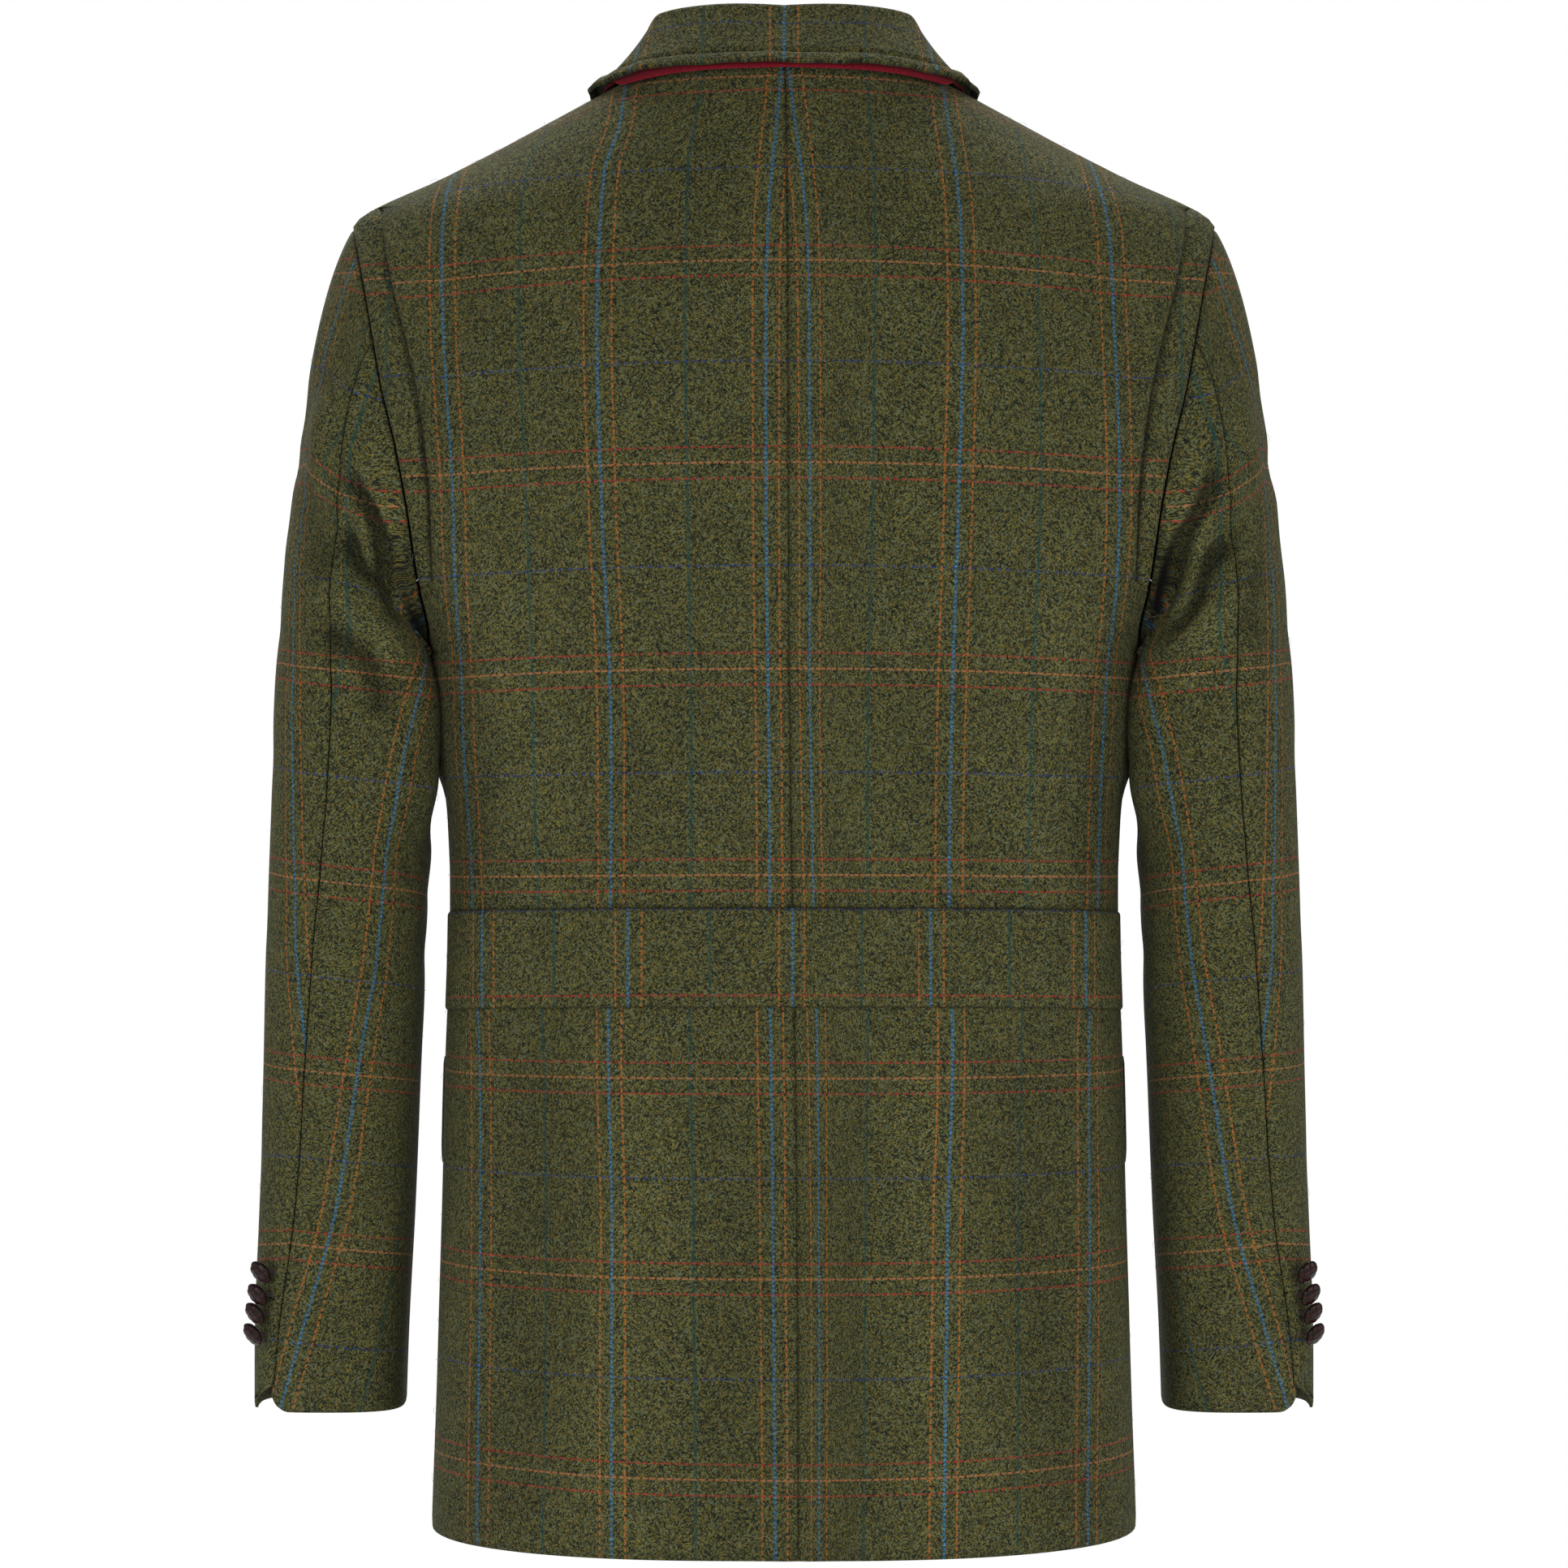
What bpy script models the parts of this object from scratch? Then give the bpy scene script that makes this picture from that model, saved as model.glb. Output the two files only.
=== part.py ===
"""Hunting jacket in checked tweed, filled out as if worn and open at neck, hem and cuffs.

The front faces -Y, the wearer's left is +X and +Z is up. The origin lies between the
shoulders at the height of the neck points, where a wearer holds the jacket up.
Every cloth piece is a wall lofted through sections of one shared body or sleeve surface.
"""

import math
from collections import namedtuple

import bmesh
import bpy
import numpy as np
from mathutils import Matrix, Vector

# Sizes are in millimetres, and METRES turns them into the scene's unit.
METRES = 0.001
TWEED = 2.0
FELT = 1.5
SEAM_GAP = 0.3
UP = np.array((0.0, 0.0, 1.0))

# Body rings, named by their height at centre back.
BodyRing = namedtuple(
    "BodyRing", "name back_z side_z front_z half_width back_y side_y front_y squareness"
)
BODY_RINGS = (
    BodyRing("hem", -773, -769, -772, 190.5, 130, 0, -126, 2.5),
    BodyRing("seat", -690, -693, -690, 188.0, 126, 0, -124, 2.5),
    BodyRing("hip", -600, -604, -600, 185.0, 120, 0, -121, 2.5),
    BodyRing("pocket", -517, -523, -517, 183.0, 114.5, 0, -119, 2.5),
    BodyRing("waist", -450, -456, -450, 181.0, 112, 0, -118, 2.5),
    BodyRing("ribs", -385, -389, -385, 182.8, 117, 0, -123, 2.5),
    BodyRing("lower_side", -372, -376, -372, 184.0, 118, 0, -124, 2.5),
    BodyRing("side", -362, -366, -362, 187.2, 119, 0, -125, 2.5),
    BodyRing("below_arm", -340, -343, -341, 189.0, 121.5, 0, -128, 2.5),
    BodyRing("underarm", -300, -302, -304, 193.0, 125, 0, -131, 2.5),
    BodyRing("arm_bottom", -266, -267, -274, 211.0, 127, 0, -132, 2.5),
    BodyRing("chest", -225, -226, -245, 230.0, 127, 0, -130, 2.5),
    BodyRing("blade", -160, -161, -205, 243.0, 124, 0, -125, 2.5),
    BodyRing("upper_blade", -110, -109, -176, 241.0, 118, 0, -116, 2.4),
    BodyRing("shoulder_tip", -70, -68.5, -150, 233.0, 110, 0, -103, 2.25),
    BodyRing("mid_shoulder", -43, -42.5, -128, 183.0, 103, 3, -90, 2.1),
    BodyRing("near_neck", -13, -15, -102, 130.0, 92, 6, -76, 2.0),
    BodyRing("neck", 13.5, 4, -75, 90.0, 79, 8, -62, 2.0),
)
FRONT_ROUNDING = 1.7

# Where each armhole and pleat fold crosses the body rings.
ArmholeRow = namedtuple("ArmholeRow", "row back_x fold_x front_x")
ARMHOLE_ROWS = (
    ArmholeRow(-300, 193.0, 185.0, 193.0),
    ArmholeRow(-296, 190.5, 185.0, 189.0),
    ArmholeRow(-288, 189.5, 185.0, 184.5),
    ArmholeRow(-266, 194.0, 185.5, 183.0),
    ArmholeRow(-225, 199.5, 186.0, 185.5),
    ArmholeRow(-190, 206.0, 189.0, 190.0),
    ArmholeRow(-160, 213.5, 193.5, 196.0),
    ArmholeRow(-135, 218.5, 199.0, 204.0),
    ArmholeRow(-110, 223.5, 206.0, 214.0),
    ArmholeRow(-88, 228.5, 211.0, 225.0),
    ArmholeRow(-70, 233.0, 215.5, 233.0),
)
UNDERARM_ROW = -300
TIP_ROW = -70

# The action pleat: the back's fold lies over an underlay that reaches the armhole.
PLEAT_END_ROW = -262
PLEAT_TOP_ROW = -61
PLEAT_FADE_ROW = -335
PLEAT_TUCK = 24
PLEAT_RISE = 2.7
PLEAT_RISE_FULL = 27
PLEAT_RISE_END = 72

# The rows where each panel has its sections.
HEM_ROW = -773
BELT_ROWS = (-486, -460, -434)
LOWER_ROWS = (HEM_ROW, -720, -660, -600, -543) + BELT_ROWS + (-390, -374, -362, -335)
ARMPIT_ROWS = (-300, -296, -288, -266)
PLEAT_ROWS = (-262, -225, -190, -160, -135, -110, -88, -70)
SHOULDER_ROWS = (-61, -53, -43, -28, -13, 13.5)
UNDERLAY_ROWS = PLEAT_ROWS + SHOULDER_ROWS[:2]
BACK_ROWS = LOWER_ROWS + ARMPIT_ROWS + PLEAT_ROWS + SHOULDER_ROWS
CORNER_ROWS = (HEM_ROW, -768, -758, -740, -712)
FRONT_LOWER_ROWS = (-660, -600, -543, -486, -434, -390, -374, -362, -335)
FRONT_ROWS = CORNER_ROWS + FRONT_LOWER_ROWS + ARMPIT_ROWS + PLEAT_ROWS + (-43, -13, 13.5)
BACK_COLUMNS = 8
TUCK_COLUMNS = 4
FRONT_COLUMNS = 10
STRIP_COLUMNS = 3
STRIP_END = 1.4

# Front closure: the left front lies over the right one.
FRONT_OVERLAP = 20
BREAK_Z = -345
ROLL_TOP_X = 76
ROLL_TOP_Z = -38
CLOSURE_RISE = 3.0
CLOSURE_FULL_X = 26
CLOSURE_END_X = 72
CLOSURE_TOP_ROWS = (-255, -200)
HEM_CORNER_RADIUS = 60

# Half lapel, as seen from the front: where it leaves the roll line and where its edge is.
LapelRow = namedtuple("LapelRow", "roll_z notch_x notch_z edge_x edge_z")
LAPEL_ROWS = (
    LapelRow(-334, -8, -331, -2, -328),
    LapelRow(-290, 14, -287, 31, -284),
    LapelRow(-230, 42, -224, 70, -216),
    LapelRow(-165, 70, -155, 105, -142),
    LapelRow(-105, 90, -96, 128, -97),
    LapelRow(-44, 104, -42, 143, -78),
)
LEFT_LAPEL_LOWEST = -334
RIGHT_LAPEL_LOWEST = -306
LAPEL_COVER_GAP = 2.5
LAPEL_RISE = 3.6
LAPEL_ROLL_RISE = 4.6
LAPEL_COLUMNS = 7
LAPEL_SECTIONS = 12

# Collar: its fold line above the neck seam, and the edge of its fall over the body.
CollarRow = namedtuple(
    "CollarRow", "turn fold_rise fold_out edge_turn edge_row edge_lift"
)
COLLAR_ROWS = (
    CollarRow(0, 29.5, -11.0, 0, 7.5, 11.0),
    CollarRow(30, 32.0, -10.0, 30, 7.0, 10.0),
    CollarRow(56, 33.0, -10.5, 58, 6.5, 7.5),
    CollarRow(75, 25.0, -13.0, 76, 7.0, 6.0),
    CollarRow(90, 21.5, -12.5, 90, 6.3, 5.8),
    CollarRow(108, 11.0, -3.0, 104, 4.0, 5.0),
    CollarRow(121, 3.5, 2.5, 113, -4.0, 5.0),
)
COLLAR_STEPS = 10
COLLAR_WALL = 2.4
COLLAR_SEAM_RISE = 1.5
STAND_LEAN = 2.0
STAND_INSET = 2.2
FALL_SAG = 1.5
FOLD_RADIUS = 3.0
UNDERCOLLAR_TURN = 85
UNDERCOLLAR_SHOW = 3.2

# Sleeve rings below the armhole, for the wearer's left arm.
SleeveRing = namedtuple(
    "SleeveRing", "name z inner_x outer_x front_y back_y hind_x squareness"
)
SLEEVE_RINGS = (
    SleeveRing("biceps", -318, 201.8, 274.4, -74, 76, 245.0, 2.2),
    SleeveRing("below_armpit", -343, 197.3, 275.8, -72, 75, 246.0, 2.2),
    SleeveRing("gap_top", -366, 194.9, 276.5, -70, 73, 247.5, 2.2),
    SleeveRing("above_elbow", -384, 192.6, 277.2, -69, 71, 249.0, 2.2),
    SleeveRing("elbow", -402, 190.9, 278.0, -67, 69, 251.0, 2.2),
    SleeveRing("forearm", -450, 193.5, 280.0, -63, 64, 255.0, 2.3),
    SleeveRing("mid_forearm", -517, 197.0, 281.5, -62, 57, 259.0, 2.4),
    SleeveRing("wrist", -600, 201.0, 284.8, -64, 44, 262.5, 2.6),
    SleeveRing("vent", -660, 205.0, 288.0, -72, 29, 272.0, 2.8),
    SleeveRing("cuff", -709.5, 207.5, 289.5, -84, 12, 278.0, 3.0),
)
SLEEVE_ROWS = (-318, -343, -366, -384, -410, -450, -500, -550, -600, -640, -675, -709.5)
CAP_STEPS = 9
CAP_LEAVE_TIP = (0.60, 0.0, -0.80)
CAP_LEAVE_ARMPIT = (0.95, 0.0, -0.31)
CAP_STRENGTH = 0.56
CAP_CLEAR = 2.5
SLEEVE_LEAN = 34
SLEEVE_LEAN_ROWS = (-410, -362)
HIND_ARMHOLE_ROW = -135
FORE_ARMHOLE_ROW = -225
FORE_ANGLE = 305
HIND_ANGLES = (85.0, 175.0)
VENT_NOTCH = 13.0
VENT_UPPER_REACH = 24.0
VENT_UNDER_REACH = 12.0

# The largest creases of each sleeve: angle round the arm, height, slope and size.
SleeveCrease = namedtuple("SleeveCrease", "angle z fall half_length half_width depth")
SLEEVE_CREASES = (
    SleeveCrease(88, -246, 0.9, 42, 11, 5.0),
    SleeveCrease(84, -284, 0.8, 38, 12, -3.5),
    SleeveCrease(276, -240, 0.8, 40, 12, 4.5),
)

# Hip pocket flaps, as seen from the front.
FLAP_REAR_TURN = 91
FLAP_FRONT_TURN = 142
FLAP_ROWS = (-575, -571, -560, -543, -512)
FLAP_CORNER = 16
FLAP_LIFT = 3.2
FLAP_COLUMNS = 9

# Buttons.
BUTTON_RADIUS = 7.0
BUTTON_HALF_THICK = 3.0
CUFF_BUTTON_ZS = (-631.5, -644.0, -654.5, -666.0)
CUFF_BUTTON_FROM_SEAM = 10.5
CUFF_BUTTON_TILT = 30
FRONT_BUTTON_RADIUS = 10.5
FRONT_BUTTON_HALF_THICK = 3.8
FRONT_BUTTON_ROWS = (-368, -458, -548)
BUTTON_STANDOFF = 1.2
BUTTON_SEGMENTS = 12
BUTTON_RINGS = 8


def smooth_curve(places, values):
    """A smooth curve through the values that never swings past them."""
    places = np.asarray(places, float)
    values = np.asarray(values, float)
    step = np.diff(places)
    slope = np.diff(values) / step
    tangent = np.empty_like(values)
    tangent[0], tangent[-1] = slope[0], slope[-1]
    ahead, behind = 2 * step[1:] + step[:-1], step[1:] + 2 * step[:-1]
    rising = slope[1:] * slope[:-1] > 0
    safe = np.where(slope == 0, 1.0, slope)
    mean = (ahead + behind) / (ahead / safe[:-1] + behind / safe[1:])
    tangent[1:-1] = np.where(rising, mean, 0.0)

    def at(place):
        place = np.clip(place, places[0], places[-1])
        i = np.clip(np.searchsorted(places, place) - 1, 0, len(step) - 1)
        t = (place - places[i]) / step[i]
        start = values[i] * (1 + 2 * t) * (1 - t) ** 2
        end = values[i + 1] * (3 - 2 * t) * t**2
        leave = tangent[i] * t * (1 - t) ** 2
        arrive = tangent[i + 1] * (t - 1) * t**2
        return start + end + step[i] * (leave + arrive)

    return at


def table_curves(table, key):
    """One smooth curve for every number column of a table, by column name."""
    rows = sorted(table, key=lambda row: getattr(row, key))
    names = [name for name in rows[0]._fields if name not in (key, "name")]
    places = [getattr(row, key) for row in rows]
    return {
        name: smooth_curve(places, [getattr(row, name) for row in rows])
        for name in names
    }


BODY = table_curves(BODY_RINGS, "back_z")
ARMHOLE = table_curves(ARMHOLE_ROWS, "row")
COLLAR = table_curves(COLLAR_ROWS, "turn")
LAPEL = table_curves(LAPEL_ROWS, "roll_z")
SLEEVE = table_curves(SLEEVE_RINGS, "z")


def ease(start, end, value):
    """0 at start, 1 at end, with soft ends."""
    t = np.clip((value - start) / (end - start), 0, 1)
    return t * t * (3 - 2 * t)


def unit(vectors):
    return vectors / np.linalg.norm(vectors, axis=-1, keepdims=True)


def signed_power(value, power):
    return np.sign(value) * np.abs(value) ** power


def body(turn, row):
    """Points of the body surface; turn goes in degrees from centre back round by +X."""
    turn, row = np.broadcast_arrays(np.radians(turn), np.asarray(row, float))
    power = 2 / BODY["squareness"](row)
    across = signed_power(np.sin(turn), power)
    along = signed_power(np.cos(turn), power)
    behind = along > 0
    reach = np.abs(along)
    end_y = np.where(behind, BODY["back_y"](row), BODY["front_y"](row))
    end_z = np.where(behind, row, BODY["front_z"](row))
    side_y, side_z = BODY["side_y"](row), BODY["side_z"](row)
    fall = np.where(behind, reach, reach**FRONT_ROUNDING)
    x = BODY["half_width"](row) * across
    y = side_y + (end_y - side_y) * reach
    z = side_z + (end_z - side_z) * fall
    return np.stack((x, y, z), axis=-1)


def body_normal(turn, row):
    turn, row = np.broadcast_arrays(np.asarray(turn, float), np.asarray(row, float))
    top = BODY_RINGS[-1].back_z
    along = body(turn + 0.3, row) - body(turn - 0.3, row)
    up = body(turn, np.minimum(row + 0.5, top)) - body(turn, row - 0.5)
    return unit(np.cross(up, along))


def turn_at(x, row, front=False):
    """The turn at which a body ring reaches x, on its back or its front half."""
    share = np.clip(x / BODY["half_width"](row), -1, 1)
    power = BODY["squareness"](row) / 2
    turn = math.degrees(math.asin(float(signed_power(share, power))))
    return 180 - turn if front else turn


def moved_turn(turn, row, distance):
    """The turn that lies this far along the ring, for small distances."""
    step = 0.05
    speed = np.linalg.norm(body(turn + step, row) - body(turn - step, row)) / (2 * step)
    return turn + distance / speed


def even_turns(row, start, end, columns):
    """Turns from start to end, evenly spaced along the ring."""
    fine = np.linspace(start, end, 121)
    steps = np.linalg.norm(np.diff(body(fine, row), axis=0), axis=1)
    length = np.concatenate(((0,), np.cumsum(steps)))
    return np.interp(np.linspace(0, length[-1], columns), length, fine)


def front_place(x, z):
    """The turn and row of the front where it is seen at this x and z."""
    low, high = HEM_ROW, BODY_RINGS[-1].back_z
    for _ in range(40):
        row = (low + high) / 2
        if body(turn_at(x, row, front=True), row)[2] < z:
            low = row
        else:
            high = row
    return turn_at(x, row, front=True), row


def grid_of(spans, columns):
    """Turn and row grids from (row, start turn, end turn) spans."""
    turns = np.array([even_turns(row, a, b, columns) for row, a, b in spans])
    rows = np.repeat([[row] for row, _, _ in spans], columns, axis=1)
    return turns, rows.astype(float)


def joined(first, second):
    """Two grids side by side that share the column where they meet."""
    return [np.concatenate((a, b[:, 1:]), axis=1) for a, b in zip(first, second)]


def pleat_rise(turn, row):
    """How far the back stands out where it lies over the pleat's underlay."""
    from_fold = ARMHOLE["fold_x"](row) - body(turn, row)[..., 0]
    near = ease(PLEAT_RISE_END, PLEAT_RISE_FULL, from_fold)
    return PLEAT_RISE * near * ease(PLEAT_FADE_ROW, PLEAT_END_ROW - 6, row)


def closure_rise(turn, row):
    """How far the left front stands out where it lies over the right one."""
    near = ease(CLOSURE_END_X, CLOSURE_FULL_X, body(turn, row)[..., 0])
    return CLOSURE_RISE * near * ease(CLOSURE_TOP_ROWS[1], CLOSURE_TOP_ROWS[0], row)


def no_rise(turn, row):
    return np.zeros_like(np.asarray(turn, float))


def skin(turns, rows, rise, lift=0.0):
    """Outer points and normals over the body, moved out by rise and lift."""
    normals = body_normal(turns, rows)
    out = rise(turns, rows) + lift
    return body(turns, rows) + normals * out[..., None], normals


def loft(name, outer, inner, material):
    """A closed cloth wall between two grids of sections."""
    rows, columns = outer.shape[:2]
    mesh = bmesh.new()
    sides = []
    for grid in (outer, inner):
        points = grid.reshape(-1, 3) * METRES
        sides.append([mesh.verts.new(point) for point in points])
    front, back = sides
    for r in range(rows - 1):
        for c in range(columns - 1):
            ring = [r * columns + c, r * columns + c + 1]
            ring += [(r + 1) * columns + c + 1, (r + 1) * columns + c]
            mesh.faces.new([front[i] for i in ring])
            mesh.faces.new([back[ring[i]] for i in (0, 3, 2, 1)])
    bottom = list(range(columns))
    right = [r * columns + columns - 1 for r in range(1, rows)]
    top = [(rows - 1) * columns + c for c in range(columns - 2, -1, -1)]
    left = [r * columns for r in range(rows - 2, 0, -1)]
    rim = bottom + right + top + left
    for a, b in zip(rim, rim[1:] + rim[:1]):
        low, high = min(a, b), max(a, b)
        mesh.faces.new((front[low], front[high], back[high]))
        mesh.faces.new((front[low], back[high], back[low]))
    return finish(name, mesh, material)


def finish(name, mesh, material):
    bmesh.ops.recalc_face_normals(mesh, faces=mesh.faces)
    data = bpy.data.meshes.new(name)
    mesh.to_mesh(data)
    mesh.free()
    data.shade_smooth()
    data.set_sharp_from_angle(angle=math.radians(40))
    data.materials.append(material)
    obj = bpy.data.objects.new(name, data)
    JACKET.objects.link(obj)
    return obj


def mirrored(points):
    return points * np.array((-1.0, 1.0, 1.0))


def both_sides(name, outer, inner, material):
    loft(f"{name}_left", outer, inner, material)
    loft(f"{name}_right", mirrored(outer), mirrored(inner), material)


def fold_turn(row):
    """The turn of the back's outer edge where it is the pleat's fold."""
    if row >= PLEAT_TOP_ROW:
        return moved_turn(90.0, row, -SEAM_GAP / 2)
    return turn_at(ARMHOLE["fold_x"](row), row)


def tuck_turn(row):
    """The turn up to which the underlay reaches in under the back."""
    seam = moved_turn(90.0, row, -SEAM_GAP / 2)
    shoulder = even_turns(row, 0.0, seam, BACK_COLUMNS)[-2]
    return min(turn_at(ARMHOLE["fold_x"](row) - PLEAT_TUCK, row), shoulder)


def back_grid():
    middle, tuck = [], []
    for row in BACK_ROWS:
        end = fold_turn(row)
        if row <= UNDERARM_ROW:
            end = moved_turn(90.0, row, -SEAM_GAP / 2)
        elif row < PLEAT_END_ROW:
            end = turn_at(ARMHOLE["back_x"](row), row)
        middle.append((row, moved_turn(0.0, row, SEAM_GAP / 2), tuck_turn(row)))
        tuck.append((row, tuck_turn(row), end))
    return joined(grid_of(middle, BACK_COLUMNS), grid_of(tuck, TUCK_COLUMNS))


def underlay_grid():
    tuck, strip = [], []
    for row in UNDERLAY_ROWS:
        end = moved_turn(90.0, row, -SEAM_GAP / 2)
        if row < TIP_ROW:
            end = turn_at(ARMHOLE["back_x"](row), row)
        fold = fold_turn(row)
        if row >= PLEAT_TOP_ROW:
            fold = moved_turn(90.0, row, -STRIP_END)
        tuck.append((row, tuck_turn(row), fold))
        strip.append((row, fold, end))
    return joined(grid_of(tuck, TUCK_COLUMNS), grid_of(strip, STRIP_COLUMNS))


def front_edge_x(row):
    """The left front's own edge: the closure, its rounded hem corner and the roll line."""
    if row <= BREAK_Z:
        down = np.clip(CORNER_ROWS[-1] - row, 0, HEM_CORNER_RADIUS)
        cut = HEM_CORNER_RADIUS - math.sqrt(HEM_CORNER_RADIUS**2 - down**2)
        return cut - FRONT_OVERLAP
    x = 0.0
    for _ in range(8):
        x = roll_x(body(turn_at(x, row, front=True), row)[2])
    return x


def roll_x(z):
    share = (z - BREAK_Z) / (ROLL_TOP_Z - BREAK_Z)
    return -FRONT_OVERLAP + (ROLL_TOP_X + FRONT_OVERLAP) * share


def front_spans():
    spans = []
    for row in FRONT_ROWS:
        start = moved_turn(90.0, row, SEAM_GAP / 2)
        if UNDERARM_ROW < row < TIP_ROW:
            start = turn_at(ARMHOLE["front_x"](row), row, front=True)
        spans.append((row, start, turn_at(front_edge_x(row), row, front=True)))
    return spans


def make_backs(tweed):
    turns, rows = back_grid()
    outer, normals = skin(turns, rows, pleat_rise)
    both_sides("back", outer, outer - TWEED * normals, tweed)
    belt_rows = [BACK_ROWS.index(row) for row in BELT_ROWS]
    low, high = belt_rows[0], belt_rows[-1] + 1
    make_belt(outer[low:high], normals[low:high], tweed)
    edge = [BACK_ROWS.index(row) for row in ARMPIT_ROWS]
    return outer[edge, -1], normals[edge, -1]


def make_belt(panel, normals, tweed):
    """The belt lies on the back's own points, moved out, from side seam to side seam."""
    half = panel + SEAM_GAP * normals
    under = np.concatenate((mirrored(half)[:, ::-1], half), axis=1)
    out = np.concatenate((mirrored(normals)[:, ::-1], normals), axis=1)
    loft("half_belt", under + TWEED * out, under, tweed)


def make_underlays(tweed):
    turns, rows = underlay_grid()
    outer, normals = skin(turns, rows, no_rise)
    both_sides("pleat_underlay", outer, outer - TWEED * normals, tweed)
    edge = [UNDERLAY_ROWS.index(row) for row in PLEAT_ROWS]
    return outer[edge, -1], normals[edge, -1]


def make_fronts(tweed):
    turns, rows = grid_of(front_spans(), FRONT_COLUMNS)
    outer, normals = skin(turns, rows, closure_rise)
    loft("front_left", outer, outer - TWEED * normals, tweed)
    outer, normals = skin(turns, rows, no_rise)
    loft("front_right", mirrored(outer), mirrored(outer - TWEED * normals), tweed)
    edge_rows = ARMPIT_ROWS[1:] + PLEAT_ROWS[:-1]
    edge = [FRONT_ROWS.index(row) for row in edge_rows][::-1]
    return outer[edge, 0], normals[edge, 0]


def lapel_stops(roll_z, covered):
    """The x and z where a lapel starts, bends and ends; a covered one starts clear."""
    row = {name: float(curve(roll_z)) for name, curve in LAPEL.items()}
    start = roll_x(roll_z) + SEAM_GAP
    if covered:
        start = max(start, LAPEL_COVER_GAP - roll_x(roll_z))
    bend = max(row["notch_x"], (start + row["edge_x"]) / 2)
    return (start, bend, row["edge_x"]), (roll_z, row["notch_z"], row["edge_z"])


def make_lapel(name, lowest_z, rise, side, tweed):
    """A lapel rolls over the front's edge and lies on its points, moved out."""
    outer, normals = [], []
    columns = np.arange(LAPEL_COLUMNS)
    stops = (0, LAPEL_COLUMNS // 2, LAPEL_COLUMNS - 1)
    for roll_z in np.linspace(lowest_z, LAPEL_ROWS[-1].roll_z, LAPEL_SECTIONS):
        stop_xs, stop_zs = lapel_stops(roll_z, side < 0)
        xs = np.interp(columns, stops, stop_xs)
        zs = np.interp(columns, stops, stop_zs)
        places = [front_place(x, z) for x, z in zip(xs, zs)]
        turns, levels = np.array(places).T
        rolled = LAPEL_ROLL_RISE * ease(stop_xs[1], roll_x(roll_z), xs)
        points, out = skin(turns, levels, rise, LAPEL_RISE)
        outer.append(points + out * rolled[:, None])
        normals.append(out)
    outer, normals = np.array(outer), np.array(normals)
    inner = outer - TWEED * normals
    if side < 0:
        outer, inner = mirrored(outer), mirrored(inner)
    loft(name, outer, inner, tweed)


def collar_section(turn):
    """One section of the collar, from the neck seam over the fold to the fall's edge."""
    top = BODY_RINGS[-1].back_z
    seam = body(turn, top) + UP * COLLAR_SEAM_RISE
    outward = body_normal(turn, top) * np.array((1.0, 1.0, 0.0))
    outward = outward / np.linalg.norm(outward)
    fold = body(turn, top) + UP * COLLAR["fold_rise"](turn)
    fold = fold + outward * COLLAR["fold_out"](turn)
    edge_turn, edge_row = COLLAR["edge_turn"](turn), COLLAR["edge_row"](turn)
    edge_lift = COLLAR["edge_lift"](turn)
    edge = body(edge_turn, edge_row) + body_normal(edge_turn, edge_row) * edge_lift
    seam = seam - outward * STAND_INSET
    stand_mid = (seam + fold) / 2 - outward * STAND_LEAN
    fall = edge - fold
    sag = np.cross(np.cross(outward, UP), fall)
    sag = sag / np.linalg.norm(sag)
    if sag[2] > 0:
        sag = -sag
    stand = [seam, stand_mid]
    crown = [fold - outward * FOLD_RADIUS * 0.8 - UP * FOLD_RADIUS * 0.8, fold]
    falls = []
    for share in (0.14, 0.36, 0.6, 0.82, 1.0):
        bend = math.sin(math.pi * share) * FALL_SAG
        falls.append(fold + fall * share + sag * bend)
    return np.array(stand + crown + falls)


def collar_grid(turns):
    sections = []
    for turn in turns:
        section = collar_section(abs(turn))
        sections.append(mirrored(section) if turn < 0 else section)
    return np.array(sections)


def grid_normals(points, closed=False):
    """Normals of a point grid, along its rows and columns."""
    if closed:
        wide = np.concatenate((points[:, -1:], points, points[:, :1]), axis=1)
        along = wide[:, 2:] - wide[:, :-2]
    else:
        along = np.gradient(points, axis=1)
    across = np.gradient(points, axis=0)
    return unit(np.cross(across, along))


def make_collar(tweed, felt):
    half = np.linspace(0, COLLAR_ROWS[-1].turn, COLLAR_STEPS)
    turns = np.concatenate((-half[:0:-1], half))
    outer = collar_grid(turns)
    normals = grid_normals(outer)
    if normals[len(turns) // 2, -2, 1] < 0:
        normals = -normals
    loft("collar", outer, outer - COLLAR_WALL * normals, tweed)
    behind = np.abs(turns) < UNDERCOLLAR_TURN
    out = normals[behind, -2:]
    face = outer[behind, -2:] - out * (COLLAR_WALL + SEAM_GAP)
    face[:, -1] += unit(face[:, -1] - face[:, -2]) * UNDERCOLLAR_SHOW
    loft("undercollar", face, face - FELT * out, felt)


def sleeve_ring(z, angles):
    """Points of a sleeve ring; 0 degrees faces the body, 90 the back, 180 outwards."""
    inner, outer = SLEEVE["inner_x"](z), SLEEVE["outer_x"](z)
    front, back = SLEEVE["front_y"](z), SLEEVE["back_y"](z)
    power = 2 / SLEEVE["squareness"](z)
    along = signed_power(np.cos(np.radians(angles)), power)
    across = signed_power(np.sin(np.radians(angles)), power)
    lean = SLEEVE_LEAN * ease(*SLEEVE_LEAN_ROWS, z) * np.clip(along, 0, 1)
    x = (inner + outer) / 2 - (outer - inner) / 2 * along - lean * across
    y = (front + back) / 2 + (back - front) / 2 * across
    return np.stack((x, y, np.full_like(x, z)), axis=-1)


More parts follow.
